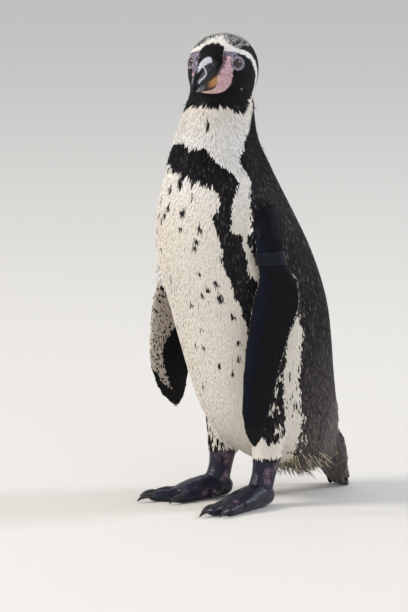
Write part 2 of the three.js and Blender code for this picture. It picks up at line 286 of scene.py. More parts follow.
# %% [markdown]
# ## One skin
# A real bird has one skin from bill to toes. The flesh solids are joined here, grown by a
# hair so that the thin cuts between them close, and wrapped in one even net of squares
# (a voxel remesh). The net is then relaxed, so that no facet or seam is left.

# %% Join the flesh and wrap it
FLESH = ["head", "neck", "trunk", "tail", "flipper_left", "flipper_right",
         "leg_left", "leg_right", "foot_left", "foot_right"]
source_points, source_faces, source_part = [], [], []
def gather(points, faces, part):
    """Adds one closed piece of flesh to the pile that will be wrapped."""
    start = sum(len(p) for p in source_points)
    source_points.append(np.asarray(points, float))
    source_faces.extend([tuple(start + i for i in face) for face in faces])
    source_part.extend([part] * len(faces))

for rings, part in ((body_rings(), 0), (head_rings(), 1)):
    points, faces = loft(rings)
    gather(points, faces, part)
GROWN = 0.35         # mm, a little more than the thin cuts between the solids
PART = {"tail": 2, "flipper_left": 3, "flipper_right": 4, "leg_left": 5, "leg_right": 5,
        "foot_left": 6, "foot_right": 6}
for name, part in PART.items():
    mesh = frame["nodes"][name].data
    points = np.empty(len(mesh.vertices) * 3)
    mesh.vertices.foreach_get("co", points)
    normals = np.empty(len(mesh.vertices) * 3)
    mesh.vertices.foreach_get("normal", normals)
    grown = on_bird(points.reshape(-1, 3)) + normals.reshape(-1, 3) * GROWN
    gather(grown, [tuple(p.vertices) for p in mesh.polygons], part)

VOXEL = 1.6          # mm, the side of one square of the net
everything = np.vstack(source_points)
rough = new_object("rough", everything, source_faces)
wrap = rough.modifiers.new("wrap", "REMESH")
wrap.mode, wrap.voxel_size = "VOXEL", VOXEL * 0.001
wrapped = bpy.data.meshes.new_from_object(rough.evaluated_get(bpy.context.evaluated_depsgraph_get()))
bpy.data.objects.remove(rough)
print("wrapped skin:", len(wrapped.vertices), "points")

# %% [markdown]
# ## A finer net on the face and the feet
# Squares of 1.6 mm are too coarse for eyelids and toes. A modifier could halve the squares
# of the whole skin, but most of it is hidden under feathers, so only the face and the feet
# are halved, and the rims of the eyes once more.

# %% Finer net where the face and the feet need it
net = bmesh.new()
net.from_mesh(wrapped)
def split_where(wanted):
    """Halves the edges of every face whose middle is wanted."""
    middles = on_bird([f.calc_center_median() for f in net.faces])
    chosen = wanted(middles)
    edges = {e for f, yes in zip(list(net.faces), chosen) if yes for e in f.edges}
    bmesh.ops.subdivide_edges(net, edges=list(edges), cuts=1, use_grid_fill=True)

EYE_AHEAD, EYE_SIDE, EYE_OVER, EYE_RADIUS = 21.5, 22.8, 7.0, 7.2
eyes = {side: from_head(EYE_AHEAD, EYE_SIDE * s, EYE_OVER) for side, s in (("left", 1), ("right", -1))}

def near_face(points):
    """The face from behind the eyes forward."""
    ahead, left, over = to_head(points)
    return (ahead > 2) & (np.abs(left) < 40) & (over > -32) & (over < 34)

def near_foot(points):
    """Feet and ankles, but not the tail."""
    return (points[:, 2] < 30) & (points[:, 1] < 40)

def near_eye(points):
    """Within 15 mm of either eye's middle."""
    return np.min([np.linalg.norm(points - eye, axis=1) for eye in eyes.values()], axis=0) < 15

split_where(lambda points: near_face(points) | near_foot(points))
split_where(near_eye)
bmesh.ops.triangulate(net, faces=[f for f in net.faces if len(f.verts) > 4])
net.to_mesh(wrapped)
net.free()
print("skin:", len(wrapped.vertices), "points,", len(wrapped.polygons), "faces")

# %% [markdown]
# ## Parts and joins
# The wrap doesn't remember which solid a point came from, so each point asks for the
# nearest face of the pile. That tells flipper from flank, and shows where an arm grows out
# of the body: there the net is pulled smooth for longer, as skin and muscle run over a
# real shoulder without a step.

# %% Which part each point belongs to
def read(mesh, what, width=3, kind=float):
    """One kind of number for every point, edge or face of a mesh."""
    values = np.empty(len(getattr(mesh, what[0])) * width, dtype=kind)
    getattr(mesh, what[0]).foreach_get(what[1], values)
    return values.reshape(-1, width) if width > 1 else values

source_tree = BVHTree.FromPolygons([Vector(p) for p in everything], source_faces)
skin_at = on_bird(read(wrapped, ("vertices", "co")))
nearest = [source_tree.find_nearest(Vector(p)) for p in skin_at]
source_part = np.array(source_part)
skin_part = source_part[[n[2] for n in nearest]]
skin_edges = read(wrapped, ("edges", "vertices"), 2, np.int32)

def relax(points, weight, rounds):
    """Moves each point towards the middle of its neighbours, as far as its weight says."""
    a, b = skin_edges.T
    count = np.bincount(a, minlength=len(points)) + np.bincount(b, minlength=len(points))
    points = points.copy()
    for _ in range(rounds):
        total = np.stack([np.bincount(a, points[b, k], len(points))
                          + np.bincount(b, points[a, k], len(points)) for k in range(3)], 1)
        points += (total / count[:, None] - points) * weight[:, None]
    return points

def spread(values, rounds):
    """The same for a number held at each point."""
    return relax(np.stack([values] * 3, 1), np.full(len(values), 0.5), rounds)[:, 0]

soft = spread(np.select([skin_part <= 2, skin_part == 5, skin_part == 6], [1.0, 0.8, 0.3], 0.35), 6)
skin_at = relax(skin_at, soft * 0.6, 16)
meeting = spread(((skin_part == 3) | (skin_part == 4)).astype(float), 45)   # 0.5 where arm and body meet
shoulder = fade(skin_at[:, 2], 272, 18)        # the arms are free below 272 mm
skin_at = relax(skin_at, np.clip(6 * meeting * (1 - meeting), 0, 1) * shoulder, 70)
print("points in each part:", np.bincount(skin_part).tolist())

# %% [markdown]
# ## The markings
# Black and white meet along lines that were laid out on the bird itself: on the body by the
# angle round it (0 at the middle of the breast, left side positive) and the height, and on
# the head by the distance ahead and above its middle. Skin and feathers both ask the same
# functions, so they always agree.

# %% Lines of the body
# angle in degrees, height in mm: the dark band over the breast and down both flanks
BREAST_BAND = [
    (37, 69), (45, 71), (54, 79), (60, 98), (62, 120), (65, 137), (64, 143), (70, 165), (74, 187),
    (72, 211), (73, 228), (68, 244), (60, 253), (54, 263), (57, 279), (56, 294), (58, 305), (50, 309),
    (54, 332), (62, 351), (68, 358), (62, 370), (51, 377), (39, 388), (33, 397), (22, 395), (11, 393),
    (-4, 401), (-15, 399), (-29, 397), (-40, 391), (-52, 382), (-64, 370), (-68, 357), (-58, 340),
    (-52, 318), (-56, 300), (-55, 270), (-62, 235), (-70, 205), (-72, 180), (-65, 140), (-60, 100),
    (-52, 80), (-44, 70), (-35, 74), (-38, 100), (-43, 140), (-44, 190), (-42, 225), (-40, 255),
    (-38, 285), (-40, 305), (-36, 322), (-43, 338), (-44, 352), (-38, 366), (-33, 374), (-29, 377),
    (-20, 374), (-10, 368), (2, 368), (6, 361), (9, 366), (15, 361), (18, 353), (21, 360), (32, 356),
    (38, 354), (45, 347), (45, 334), (36, 325), (38, 318), (37, 308), (40, 297), (39, 286), (38, 267),
    (40, 253), (40, 237), (43, 227), (42, 217), (43, 209), (44, 180), (43, 140), (38, 100), (34, 78)]
# height, angle at which the dark back begins
BACK_EDGE = [
    (20, 50), (51, 54), (70, 70), (95, 76), (118, 79), (141, 80), (174, 86), (196, 90), (211, 88),
    (240, 67), (261, 62), (279, 66), (293, 60), (305, 63), (308, 67), (340, 74), (361, 83), (372, 79),
    (380, 75), (387, 79), (393, 87), (399, 90), (406, 98), (413, 107), (420, 114), (428, 122),
    (450, 134)]
# angle, height, half width and half length of the dark flecks on the white breast
FLECKS = [
    (32, 419, 1.7, 4.4), (-7, 373, 2, 3), (-23, 370, 2, 2), (3, 357, 3.4, 5.5), (-10, 350, 2, 5),
    (20, 343, 2, 2.4), (-25, 338, 2, 2.4), (-8, 330, 2, 2.6), (10, 327, 3, 3.8), (-12, 321, 2, 2.6),
    (-17, 315, 1.8, 2), (7, 310, 2, 2.6), (25, 309, 3, 3.4), (-27, 302, 2, 3), (21, 297, 2, 2.4),
    (18, 290, 2.2, 2.8), (-19, 284, 1.4, 2.4), (38, 278, 2, 3), (18, 261, 2, 2.4), (-12, 250, 1.4, 2.2),
    (29, 251, 2.4, 3), (22, 244, 1.8, 2.4), (16, 237, 1.8, 2.2), (29, 235, 3.2, 4), (4, 225, 2, 2.4),
    (35, 214, 2.4, 2.6), (7, 197, 1.6, 2), (35, 185, 2, 2.4), (-3, 178, 1.4, 2), (5, 176, 1.8, 2.4),
    (32, 165, 2, 2.2), (15, 157, 1.6, 2), (25, 149, 2.2, 2.6), (-8, 130, 1.4, 1.8), (-33, 288, 2, 3),
    (-36, 262, 2, 2.4), (-30, 240, 2, 2.6), (-34, 214, 2, 2.4), (-25, 196, 1.6, 2.4),
    (-31, 172, 2, 2.2), (-22, 320, 1.6, 2)]

def inside(x, y, outline):
    """Whether each point lies inside the closed outline: it is, if a line from it crosses an odd
    number of sides."""
    result = np.zeros(len(x), bool)
    for (x1, y1), (x2, y2) in zip(outline, outline[1:] + outline[:1]):
        if y1 != y2:
            crosses = (y1 > y) != (y2 > y)
            result ^= crosses & (x < (x2 - x1) * (y - y1) / (y2 - y1) + x1)
    return result

def round_body(points):
    """The angle round the body in degrees, and how far the point is from the body's middle line."""
    section = profile(BODY, np.clip(points[:, 2], BODY[0][0], BODY[-1][0]))
    ahead = (section[:, 0] + section[:, 1]) / 2 - points[:, 1]
    return np.degrees(np.arctan2(points[:, 0], ahead)), np.hypot(points[:, 0], ahead)

def speckled(points, size, share):
    """True in a share of small cells of the given size, always the same cells."""
    cell = np.floor(points / size).astype(np.int64)
    mixed_up = (cell[:, 0] * 73856093) ^ (cell[:, 1] * 19349663) ^ (cell[:, 2] * 83492791)
    return (mixed_up % 1000) < share * 1000

def body_markings(points):
    """1 where the body is dark."""
    angle, radius = round_body(points)
    z = points[:, 2]
    edge = np.interp(z, *np.array(BACK_EDGE).T)
    edge = np.where(angle < 0, edge + 3 * np.sin(z / 17) + 2 * np.sin(z / 7.3), edge)
    dark = (inside(angle, z, BREAST_BAND) | (np.abs(angle) > edge)).astype(float)
    for a, h, wide, tall in FLECKS:
        reach = np.hypot(np.radians(angle - a) * radius / wide, (z - h) / tall)
        dark = np.maximum(dark, fade(reach, 1.6, -0.7))
    flank = (z < 150) & (angle > 36) & (angle < 84)
    ragged = flank & speckled(points * [1, 1, 0.28], 2.3, 0.04 + 0.05 * dark)
    return np.where(ragged, 1 - dark, dark)

print("points of the breast band:", len(BREAST_BAND), "flecks:", len(FLECKS))

# %% Lines of the head
# distance ahead, height above the head's middle: the black mask, all that lies within the white
# arch, the bare skin of the face, and the edge of the black beside the bill
MASK = [
    (25, 20.5), (19, 18.5), (12, 15), (4, 9), (-1, -1), (-5, -10), (-6, -22), (-2, -30), (5, -34),
    (10, -41), (13, -44), (18, -48), (24, -47), (29, -45.5), (32, -41.5), (36, -39.5), (46, -39.5),
    (60, -33), (60, 10), (40, 14), (29, 22)]
WHITE_ARCH = [
    (-2, 50), (-2, 38), (5, 36), (13.5, 33), (18.5, 29), (19, 25.5), (14, 23), (7, 19.6), (0.5, 14.8),
    (-6, 7.7), (-10, 0), (-13, -9), (-13.5, -22), (-10, -34), (-4, -60), (70, -60), (70, 50)]
BARE_FACE = [
    (32, 21.5), (27, 21), (22, 20), (24, 14), (28, 8), (32, 0), (33, -7.5), (33.2, -13.5),
    (35.2, -19.5), (38.8, -23), (60, -24.5), (60, 21)]
DARK_BY_BILL = [
    (-6.4, 45), (-2.4, 43.2), (2.5, 40.7), (6.3, 37.8), (11.2, 35), (16.1, 32.7), (22, 31)]
EYE_OUT = {}
head_points, head_faces = loft(head_rings())
head_tree = BVHTree.FromPolygons([Vector(p) for p in head_points], head_faces)
for side, middle in eyes.items():
    spot, normal, _, _ = head_tree.find_nearest(Vector(middle))
    outward = np.array(normal) * (1 if np.dot(normal, spot - Vector(HEAD_AT)) > 0 else -1)
    EYE_OUT[side] = unit(outward + 0.22 * AHEAD)       # the eye looks a little forward

def head_markings(points):
    """Dark, bare pink and bare purple of the head. On the far side the bare skin is purple-grey as painted
    shade.
    """
    ahead, left, over = to_head(points)
    across = np.abs(left)
    middle = left + 1.5                                  # the patch leans a little to the right
    patch_edge = 22.3 + 0.018 * middle ** 2 + 0.8 * np.sin(middle * 0.9)
    forehead = (np.abs(middle) < 13.5 + 0.6 * np.sin(over * 0.7)) & (ahead > patch_edge) & (over > 8)
    forehead |= (ahead > np.interp(over, *np.array(DARK_BY_BILL).T)) & (over > -7)
    mask = inside(ahead, over, MASK) & ~((across < 12.5) & (over > 8))
    arch = inside(ahead, over, WHITE_ARCH)
    behind = ~arch & (ahead > -12) & (over > 24) & speckled(points, 0.8, 0.45)
    fleck = (((ahead - 19.8) / 2.0) ** 2 + ((over + 20.2) / 0.9) ** 2 < 1) & (left > 0)
    dark = np.where(fleck, 0.7, np.where(behind, 0.45, mask | forehead | ~arch))
    bare = inside(ahead, over, BARE_FACE) & ((across > 8) | (over < -10)) & ~forehead
    brow = bare & (over > 20.8 - 0.25 * across + 0.7 * np.sin(left * 1.1)) & (across > 9)
    # painted shade: the bare skin on the far side lies in shade and is coloured purple-grey for it
    painted_shade_far_side = bare & (left < -12.5 + 0.5 * np.sin(over)) & (over > -3)
    purple = brow | painted_shade_far_side
    for side, eye in eyes.items():
        offset = points - eye
        axial = offset @ EYE_OUT[side]
        ring = np.sqrt(np.maximum((offset ** 2).sum(1) - axial ** 2, 0))
        purple |= (ring < 8.2) & (axial > 0)
    return dark, bare.astype(float), purple.astype(float)

print("eyes look along", {side: out.round(2).tolist() for side, out in EYE_OUT.items()})

# %% Lines of the flippers
# middle, half the width and the height at stations down each flipper
FLIPPER = {
    "left": [
        [75.5, -58, 76, 2.5], [77, -58, 83, 8], [78, -60, 95, 12.8], [79.5, -60, 112, 16.8],
        [82, -58, 139, 20.4], [85, -52, 178, 24.1], [86.5, -46, 203, 26], [88, -40, 222, 29.2],
        [89, -38, 237, 28.8], [89, -37, 253, 24.8], [88, -43, 268, 17.5], [87, -47, 282, 15.4],
        [84, -44, 299, 16.4], [75, -38, 316, 17], [60, -34, 336, 18]],
    "right": [
        [-122, 11, 90, 2.8], [-121, 9, 96, 8.5], [-120, 5, 105, 14], [-117, -1, 120, 19.4],
        [-115, -6, 135, 22.5], [-111, -10, 153, 25], [-106, -10, 178, 27.5], [-101, -9, 203, 30],
        [-97, -12, 220, 28], [-93, -17, 241, 20.5], [-90, -22, 260, 16.6], [-85, -26, 283, 16.4],
        [-76, -29, 305, 17], [-60, -30, 328, 18]]}
CHORD = {"left": unit([0.34, 0.94, 0]), "right": unit([0.5, 0.87, 0])}
# across the flipper (-1 its front edge, 1 its rear edge) and height: the pale part of the inner face
PALE_INSIDE = [
    (-1.3, 300), (-1.3, 140), (-0.86, 133), (-0.71, 126), (-0.6, 118), (-0.35, 111), (-0.17, 109),
    (-0.22, 118), (-0.28, 126), (-0.37, 142), (-0.34, 162), (-0.05, 180), (0.25, 188), (0.6, 200),
    (0.8, 240), (0.8, 300)]

def along_flipper(points, side):
    """Across the flipper from -1 to 1, and whether the point is on its inner face."""
    rows = np.array(FLIPPER[side], float)
    x, y, half = [np.interp(points[:, 2], rows[:, 2], rows[:, k]) for k in (0, 1, 3)]
    chord = CHORD[side]
    across = (points[:, 0] - x) * chord[0] + (points[:, 1] - y) * chord[1]
    off = (points[:, 0] - x) * chord[1] - (points[:, 1] - y) * chord[0]
    return across / half, off * (1 if side == "left" else -1) < 0

def flipper_markings(points, normals, side):
    """Dark and bare-looking pink of one flipper."""
    across, _ = along_flipper(points, side)
    facing = normals[:, 0] * CHORD[side][1] - normals[:, 1] * CHORD[side][0]
    inner = facing * (1 if side == "left" else -1) < 0
    z = points[:, 2]
    shoulder = ((across + 0.55) / 0.28) ** 2 + ((z - 233) / 10) ** 2 < 1
    ticks = speckled(points * [1, 1, 0.6], 1.5, 0.2)
    pale = inner & inside(across + 0.03 * np.sin(z * 0.9), z, PALE_INSIDE) & ~shoulder & ~ticks
    fringe = (across > 0.9) & speckled(points * [1, 1, 0.7], 1.2, 0.5) & (z < 262)
    return 1.0 - np.maximum(pale, fringe * 0.5), pale.astype(float)

print("stations of the flippers:", {side: len(rows) for side, rows in FLIPPER.items()})

# %% [markdown]
# ## Depth of the coat
# The skin lies under the feathers by their depth: most on neck and breast, little on the
# flippers, and nothing where the bird is bare, round the bill and eyes and on the feet.

# %% Sink the skin by the coat's depth
def normals_of(points, faces):
    """Smooth normals from four-sided faces."""
    across = np.cross(points[faces[:, 2]] - points[faces[:, 0]], points[faces[:, 3]] - points[faces[:, 1]])
    total = np.zeros_like(points)
    for k in range(4):
        for axis in range(3):
            total[:, axis] += np.bincount(faces[:, k], across[:, axis], len(points))
    return unit(total)

skin_faces = np.array([tuple(p.vertices) + tuple(p.vertices)[-1:] * (4 - len(p.vertices))
                       for p in wrapped.polygons])
skin_out = normals_of(skin_at, skin_faces)
dark_head, bare_head, purple_head = head_markings(skin_at)
bare_face = np.where((skin_at[:, 2] > 440), np.maximum(bare_head, purple_head), 0)
leg_bare = fade(skin_at[:, 2], np.where(skin_at[:, 0] < 0, 68, 62), -12)
coat_depth = np.select(
    [skin_part == 6, skin_part == 5, (skin_part == 3) | (skin_part == 4), skin_part == 2,
     (skin_part == 1) | (skin_at[:, 2] > 455)],
    [0.0, 1.4 * (1 - leg_bare), 0.7, 1.5, 1.35 * (1 - bare_face)], 2.1)
coat_depth = np.maximum(spread(coat_depth, 12), 0.35)
skin_at = skin_at - skin_out * coat_depth[:, None]
print("coat depth from", coat_depth.min().round(2), "to", coat_depth.max().round(2), "mm")

# %% [markdown]
# ## Lids and gape
# Round each eye the bare skin rolls into a thick beaded ring that grips the eyeball, and
# the mouth line runs back into the cheek as a soft crease with a swollen lower lip. Both
# are pushed into the fine part of the net by measuring from the eye and from the bill line.

# %% Shape the face
# distance from the eye's axis and height over the eyeball: under the lid, its rolled rim, the ring
LID = ([0, 4.1, 4.5, 5.0, 5.8, 7.2, 8.2, 12], [-2.6, -2.2, 0.35, 0.8, 0.8, 0.7, 0.1, 0])
GAPE_AT, GAPE_FALL = 28, math.tan(math.radians(9))      # the mouth line starts here and falls forward
bead = np.full(len(skin_at), 0.5)
for side, middle in eyes.items():
    out = EYE_OUT[side]
    offset = skin_at - middle
    axial = offset @ out
    flat = offset - axial[:, None] * out
    ring = np.linalg.norm(flat, axis=1)
    around = np.arctan2(flat @ OVER, flat @ AHEAD)
    near = (ring < 12) & (axial > -2)
    ball = np.sqrt(EYE_RADIUS ** 2 - np.minimum(ring, 5) ** 2)
    beads = (np.maximum(np.cos(around * 19), 0) * hump(ring, 7.0, 0.65)
             + np.maximum(-np.cos(around * 19), 0) * hump(ring, 5.7, 0.5))
    lid = np.interp(ring, *LID) + 0.3 * beads
    on_ring = hump(ring, 6.3, 1.7, 4) * near
    bead = bead + (np.clip(beads * 1.3, 0, 1) * 0.85 - 0.24) * on_ring
    wanted = np.where(ring < 5.0, ball, 5.18) + lid
    keep = fade(ring, 6.6, 5.0)
    keep = keep * keep * (3 - 2 * keep)
    moved = wanted * (1 - keep) + axial * keep
    skin_at[near] += ((moved - axial)[:, None] * out)[near]

ahead, left, over = to_head(skin_at)
mouth = -1.2 - (ahead - GAPE_AT) * GAPE_FALL
along_gape = fade(ahead, 27, 4) * fade(ahead, 48, -3) * (np.abs(left) > 6)
crease = 0.8 * hump(over - mouth, -2.4, 1.3) - hump(over - mouth, 0, 0.7)
chin = 0.9 * hump(over, -19, 3.5) * fade(ahead, 33, 5)
pleats = 0.18 * np.sin(over * 2.1 + 0.6 * np.sin(ahead)) * bare_face * fade(over, -2, -3)
on_face = (skin_part == 1) & (ahead > 20)
folds = along_gape * crease + chin * (np.abs(left) < 14) + pleats
skin_at[on_face] += (skin_out * folds[:, None])[on_face]
wrapped.vertices.foreach_set("co", placed(skin_at).ravel())
wrapped.update()
skin_out = normals_of(skin_at, skin_faces)
print("points moved round the eyes:", int((np.abs(bead - 0.5) > 0.01).sum()),
      "in the face:", int(on_face.sum()))

# %% [markdown]
# ## Colour zones
# The zones could be painted on an image, but that needs an unwrap, and the feathers would
# need another. Instead each point of the skin carries a few numbers: how dark it is, how
# pink, how purple. The feathers ask the same functions, and a material mixes by the numbers.

# %% Colour zones on the skin
def markings(points, normals, part):
    """Dark, pink, purple and part of every point, whatever it belongs to."""
    dark = body_markings(points)
    pink, purple = np.zeros(len(points)), np.zeros(len(points))
    head = (part == 1) | (points[:, 2] > 428)
    d, b, p = head_markings(points[head])
    low = points[head][:, 2] < 446
    d = np.where(low & ~inside(*to_head(points[head])[::2], MASK), dark[head], d)
    dark[head], pink[head], purple[head] = d, b, p
    for side, number in (("left", 3), ("right", 4)):
        here = part == number
        dark[here], pink[here] = flipper_markings(points[here], normals[here], side)
    tail = part == 2
    dark[tail] = ((normals[tail, 2] > -0.55) | (points[tail, 1] > 118)).astype(float)
    thigh = (part == 5) & (points[:, 0] < 0)
    dark[thigh] = np.maximum(dark[thigh], speckled(points[thigh] * [1, 1, 0.25], 2.4, 0.55))
    dark[(part == 6) | (part == 5) & (points[:, 2] < 53)] = 1.0
    return dark, pink, purple

def put_number(mesh, name, values):
    """Stores one number at each point, for the material to read."""
    mesh.attributes.new(name, "FLOAT", "POINT").data.foreach_set("value", np.asarray(values, np.float32))

skin_dark, skin_pink, skin_purple = markings(skin_at, skin_out, skin_part)
skin_foot = np.where(skin_part == 6, 1.0, np.where(skin_part == 5, leg_bare, 0.0))
put_number(wrapped, "dark", skin_dark)
put_number(wrapped, "pink", spread(skin_pink * (skin_part == 1), 3))
put_number(wrapped, "purple", spread(skin_purple, 2))
put_number(wrapped, "foot", spread(skin_foot, 4))
low_face = fade(over, -13, -8) * 0.45
by_mouth = hump(over - mouth, -3, 3.2) * fade(ahead, 38, 5) * 0.9
put_number(wrapped, "warm", np.maximum(low_face, by_mouth))
put_number(wrapped, "bead", bead)
# place and size of the spots where blood shows through legs and webs
FLUSHED = [
    (-29, -6, 50, 9), (-26, 1, 42, 8), (-27, -4, 25, 5), (-28, -8, 21, 4), (51, -12, 38, 6),
    (50, -14, 30, 5), (52, -2, 46, 6), (-29, -30, 7, 7), (-26, -21, 5, 6), (50, -60, 9, 5),
    (28, -40, 8, 5), (-62, -30, 8, 5), (45, -19, 57, 5)]
flush = np.zeros(len(skin_at))
for x, y, z, size in FLUSHED:
    away = np.linalg.norm(skin_at - [x, y, z], axis=1)
    flush = np.maximum(flush, np.exp(-(away / size / 1.4) ** 2))
put_number(wrapped, "flush", flush)
print("dark share of the skin", skin_dark.mean().round(2))

# %% [markdown]
# ## Bare skin
# Living skin is soft and a little oily: light goes in, scatters and comes back warm. The
# face is pink where blood shows and purple-grey over the eye; on the far side the purple-grey
# is painted shade. Legs and feet are blue-black leather of small round scales, with painted
# shade in the grooves between them and pink and purple blotches. One material serves both, so
# that one can fade into the other at the edge of the feathers, and there is no seam.

# %% Skin material: zones and patterns
skin_hide, tree, shader = new_material("living_skin_and_scaly_hide")
where = add(tree, "TexCoord").outputs["Object"]
zone = {name: add(tree, "Attribute", attribute_name=name).outputs["Fac"]
        for name in ("dark", "pink", "purple", "foot", "warm", "bead", "flush")}
BLOTCH, MOTTLE, SCALE, PORE = 9.09, 2.381, 1.613, 0.7143     # mm across, each
blotch = add(tree, "TexNoise", {"Vector": where, "Scale": scale_of(BLOTCH), "Detail": 5.0})
fine = add(tree, "TexNoise", {"Vector": where, "Scale": scale_of(MOTTLE), "Detail": 5.0})
scales = add(tree, "TexVoronoi", {"Vector": where, "Scale": scale_of(SCALE)}, feature="F1")
pores = add(tree, "TexVoronoi", {"Vector": where, "Scale": scale_of(PORE)}, feature="F1")
print("patterns of the skin, mm:", BLOTCH, MOTTLE, SCALE, PORE)

# %% Skin material: the face
# thin skin over blood is pink and mottled; thick wrinkled skin over the eye is grey and purple, and the
# same grey and purple is painted shade on the far side's bare skin
plain = add(tree, "Mix", {0: zone["dark"], 6: "#d9d2c0", 7: "#0f0f12"}, data_type="RGBA")
rosy = add(tree, "ValToRGB", {0: fine.outputs[0]},
           [(0.28, "#b08591"), (0.5, "#caa3ad"), (0.72, "#e4ccd0")])
peach = add(tree, "Mix", {0: zone["warm"], 6: rosy.outputs[0], 7: "#ecc7b4"}, data_type="RGBA")
face = add(tree, "Mix", {0: zone["pink"], 6: plain.outputs[2], 7: peach.outputs[2]}, data_type="RGBA")
tone = add(tree, "MapRange", {0: fine.outputs[0], 1: 0.3, 2: 0.7, 3: -0.26, 4: 0.26})
tone = add(tree, "Math", {0: tone.outputs[0], 1: zone["bead"]}, operation="ADD")
violet = add(tree, "ValToRGB", {0: tone.outputs[0]},
             [(0.1, "#1d191f"), (0.4, "#655d70"), (0.62, "#958ca0"), (0.9, "#e2d2d6")])
face = add(tree, "Mix", {0: zone["purple"], 6: face.outputs[2], 7: violet.outputs[0]}, data_type="RGBA")

# %% Skin material: legs and feet
patches = add(tree, "ValToRGB", {0: blotch.outputs[0]},
              [(0.42, "#080d20"), (0.6, "#141a36"), (0.72, "#322c48"), (0.86, "#6a5568")])
rose = add(tree, "Math", {0: zone["flush"], 1: fine.outputs[0]}, operation="MULTIPLY")
rose = add(tree, "Math", {0: rose.outputs[0], 1: blotch.outputs[0]}, operation="MULTIPLY")
rose = add(tree, "MapRange", {0: rose.outputs[0], 1: 0.13, 2: 0.33})
patches = add(tree, "Mix", {0: rose.outputs[0], 6: patches.outputs[0], 7: "#8f7080"}, data_type="RGBA")
# painted shade: the colour darkens toward the edge of each scale, where the grooves between them lie
painted_shade_in_grooves = add(tree, "ValToRGB", {0: scales.outputs["Distance"]}, [(0.15, "#ffffff"), (0.75, "#a0a0aa")])
hide = add(tree, "Mix", {0: 0.8, 6: patches.outputs[2], 7: painted_shade_in_grooves.outputs[0]},
           data_type="RGBA", blend_type="MULTIPLY")
colour = add(tree, "Mix", {0: zone["foot"], 6: face.outputs[2], 7: hide.outputs[2]}, data_type="RGBA")
tree.links.new(colour.outputs[2], shader.inputs["Base Color"])

# %% Skin material: relief and gloss
relief = add(tree, "Mix", {0: zone["foot"], 6: pores.outputs["Distance"], 7: scales.outputs["Distance"]},
             data_type="RGBA")
bump = add(tree, "Bump", {"Height": relief.outputs[2], "Strength": 0.6, "Distance": 0.0006}, invert=True)
tree.links.new(bump.outputs[0], shader.inputs["Normal"])
rough = add(tree, "MapRange", {0: zone["foot"], 3: 0.52, 4: 0.29})       # worn scales shine more
tree.links.new(rough.outputs[0], shader.inputs["Roughness"])
gloss = add(tree, "MapRange", {0: zone["foot"], 3: 0.2, 4: 0.5})
tree.links.new(gloss.outputs[0], shader.inputs["Specular IOR Level"])
shader.inputs["IOR"].default_value = 1.42                                # oily skin
shader.inputs["Subsurface Weight"].default_value = 0.1
shader.inputs["Subsurface Radius"].default_value = (0.004, 0.0015, 0.001)
shader.inputs["Subsurface Scale"].default_value = 0.4
print(skin_hide.name, "has", len(tree.nodes), "nodes")

# %% The skin takes the place of the flesh
skin = bpy.data.objects.new("skin", wrapped)
bpy.context.scene.collection.objects.link(skin)
wrapped.materials.clear()
wrapped.materials.append(skin_hide)
wrapped.shade_smooth()
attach(skin, "root")
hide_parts(*FLESH)
print("the skin replaces", ", ".join(FLESH))

# %% [markdown]
# ## Feathers
# A penguin's coat is thousands of short stiff feathers that lie like roof tiles, each one
# over the roots of the next. Hair particles would be lost on export, so every feather is a
# small solid blade of its own: three-sided, pointed, raised along its quill. Its root is a
# point on the skin, it is laid along the coat and follows the skin below it as it goes.

# %% Where feathers may stand, and which way they lie
skin_tree = BVHTree.FromPolygons([Vector(p) for p in skin_at],
                                 [tuple(dict.fromkeys(f.tolist())) for f in skin_faces])
rng = np.random.default_rng(7)

def corners_of_skin(wanted):
    """Triangles of the skin whose points are all wanted, with their areas."""
    three = np.vstack([skin_faces[:, [0, 1, 2]], skin_faces[:, [0, 2, 3]]])
    three = three[wanted[three].all(1)]
    area = np.linalg.norm(np.cross(skin_at[three[:, 1]] - skin_at[three[:, 0]],
                                   skin_at[three[:, 2]] - skin_at[three[:, 0]]), axis=1) / 2
    return three[area > 1e-6], area[area > 1e-6]

def scatter(wanted, spacing):
    """Roots spread over the wanted part of the skin, no two nearer than the spacing in mm."""
    three, area = corners_of_skin(wanted)
    count = int(area.sum() / spacing ** 2 * 2.6)
    pick = rng.choice(len(three), count, p=area / area.sum())
    a, b = rng.random((2, count, 1))
    flip = a + b > 1
    a, b = np.where(flip, 1 - a, a), np.where(flip, 1 - b, b)
    corner = three[pick]
    points = skin_at[corner[:, 0]] * (1 - a - b) + skin_at[corner[:, 1]] * a + skin_at[corner[:, 2]] * b
    tree = KDTree(count)
    for i, p in enumerate(points):
        tree.insert(p, i)
    tree.balance()
    free, chosen = np.ones(count, bool), []
    for i in range(count):
        if free[i]:
            chosen.append(i)
            for _, j, _ in tree.find_range(points[i], spacing):
                free[j] = False
    chosen = np.array(chosen)
    owner = corner[chosen, 0]
    return points[chosen], skin_out[owner], skin_part[owner]

def lie(points, part):
    """The direction in which the coat lies, before it is laid on the skin."""
    down = np.tile([0.0, 0.0, -1.0], (len(points), 1))
    z, y = points[:, 2], points[:, 1]
    down[:, 1] = fade(z, 150, -130) * np.clip((y + 40) / 80, 0.1, 1) * 0.75
    ahead, left, over = to_head(points)
    bill_root = from_head(40, 0, -4)
    from_bill = unit(points - bill_root)
    share = fade(ahead, -30, 55)[:, None]
    on_head = fade(z, 425, 25)[:, None]
    head_way = unit(from_bill * (0.25 + share) + np.array([0, 0, -1.0]) * (1.15 - share))
    way = unit(down) * (1 - on_head) + head_way * on_head
    for side, number in (("left", 3), ("right", 4)):
        way[part == number] = unit(np.array([0, 0, -1.0]) + 0.35 * CHORD[side])
    way[part == 2] = unit([0, 0.62, -0.78])
    return unit(way)

def drape(points):
    """Nearest points on the skin and its normals there."""
    found = [skin_tree.find_nearest(Vector(p)) for p in points]
    return np.array([f[0] for f in found]), np.array([f[1] for f in found])

print("feathers may stand on", len(skin_faces), "faces")
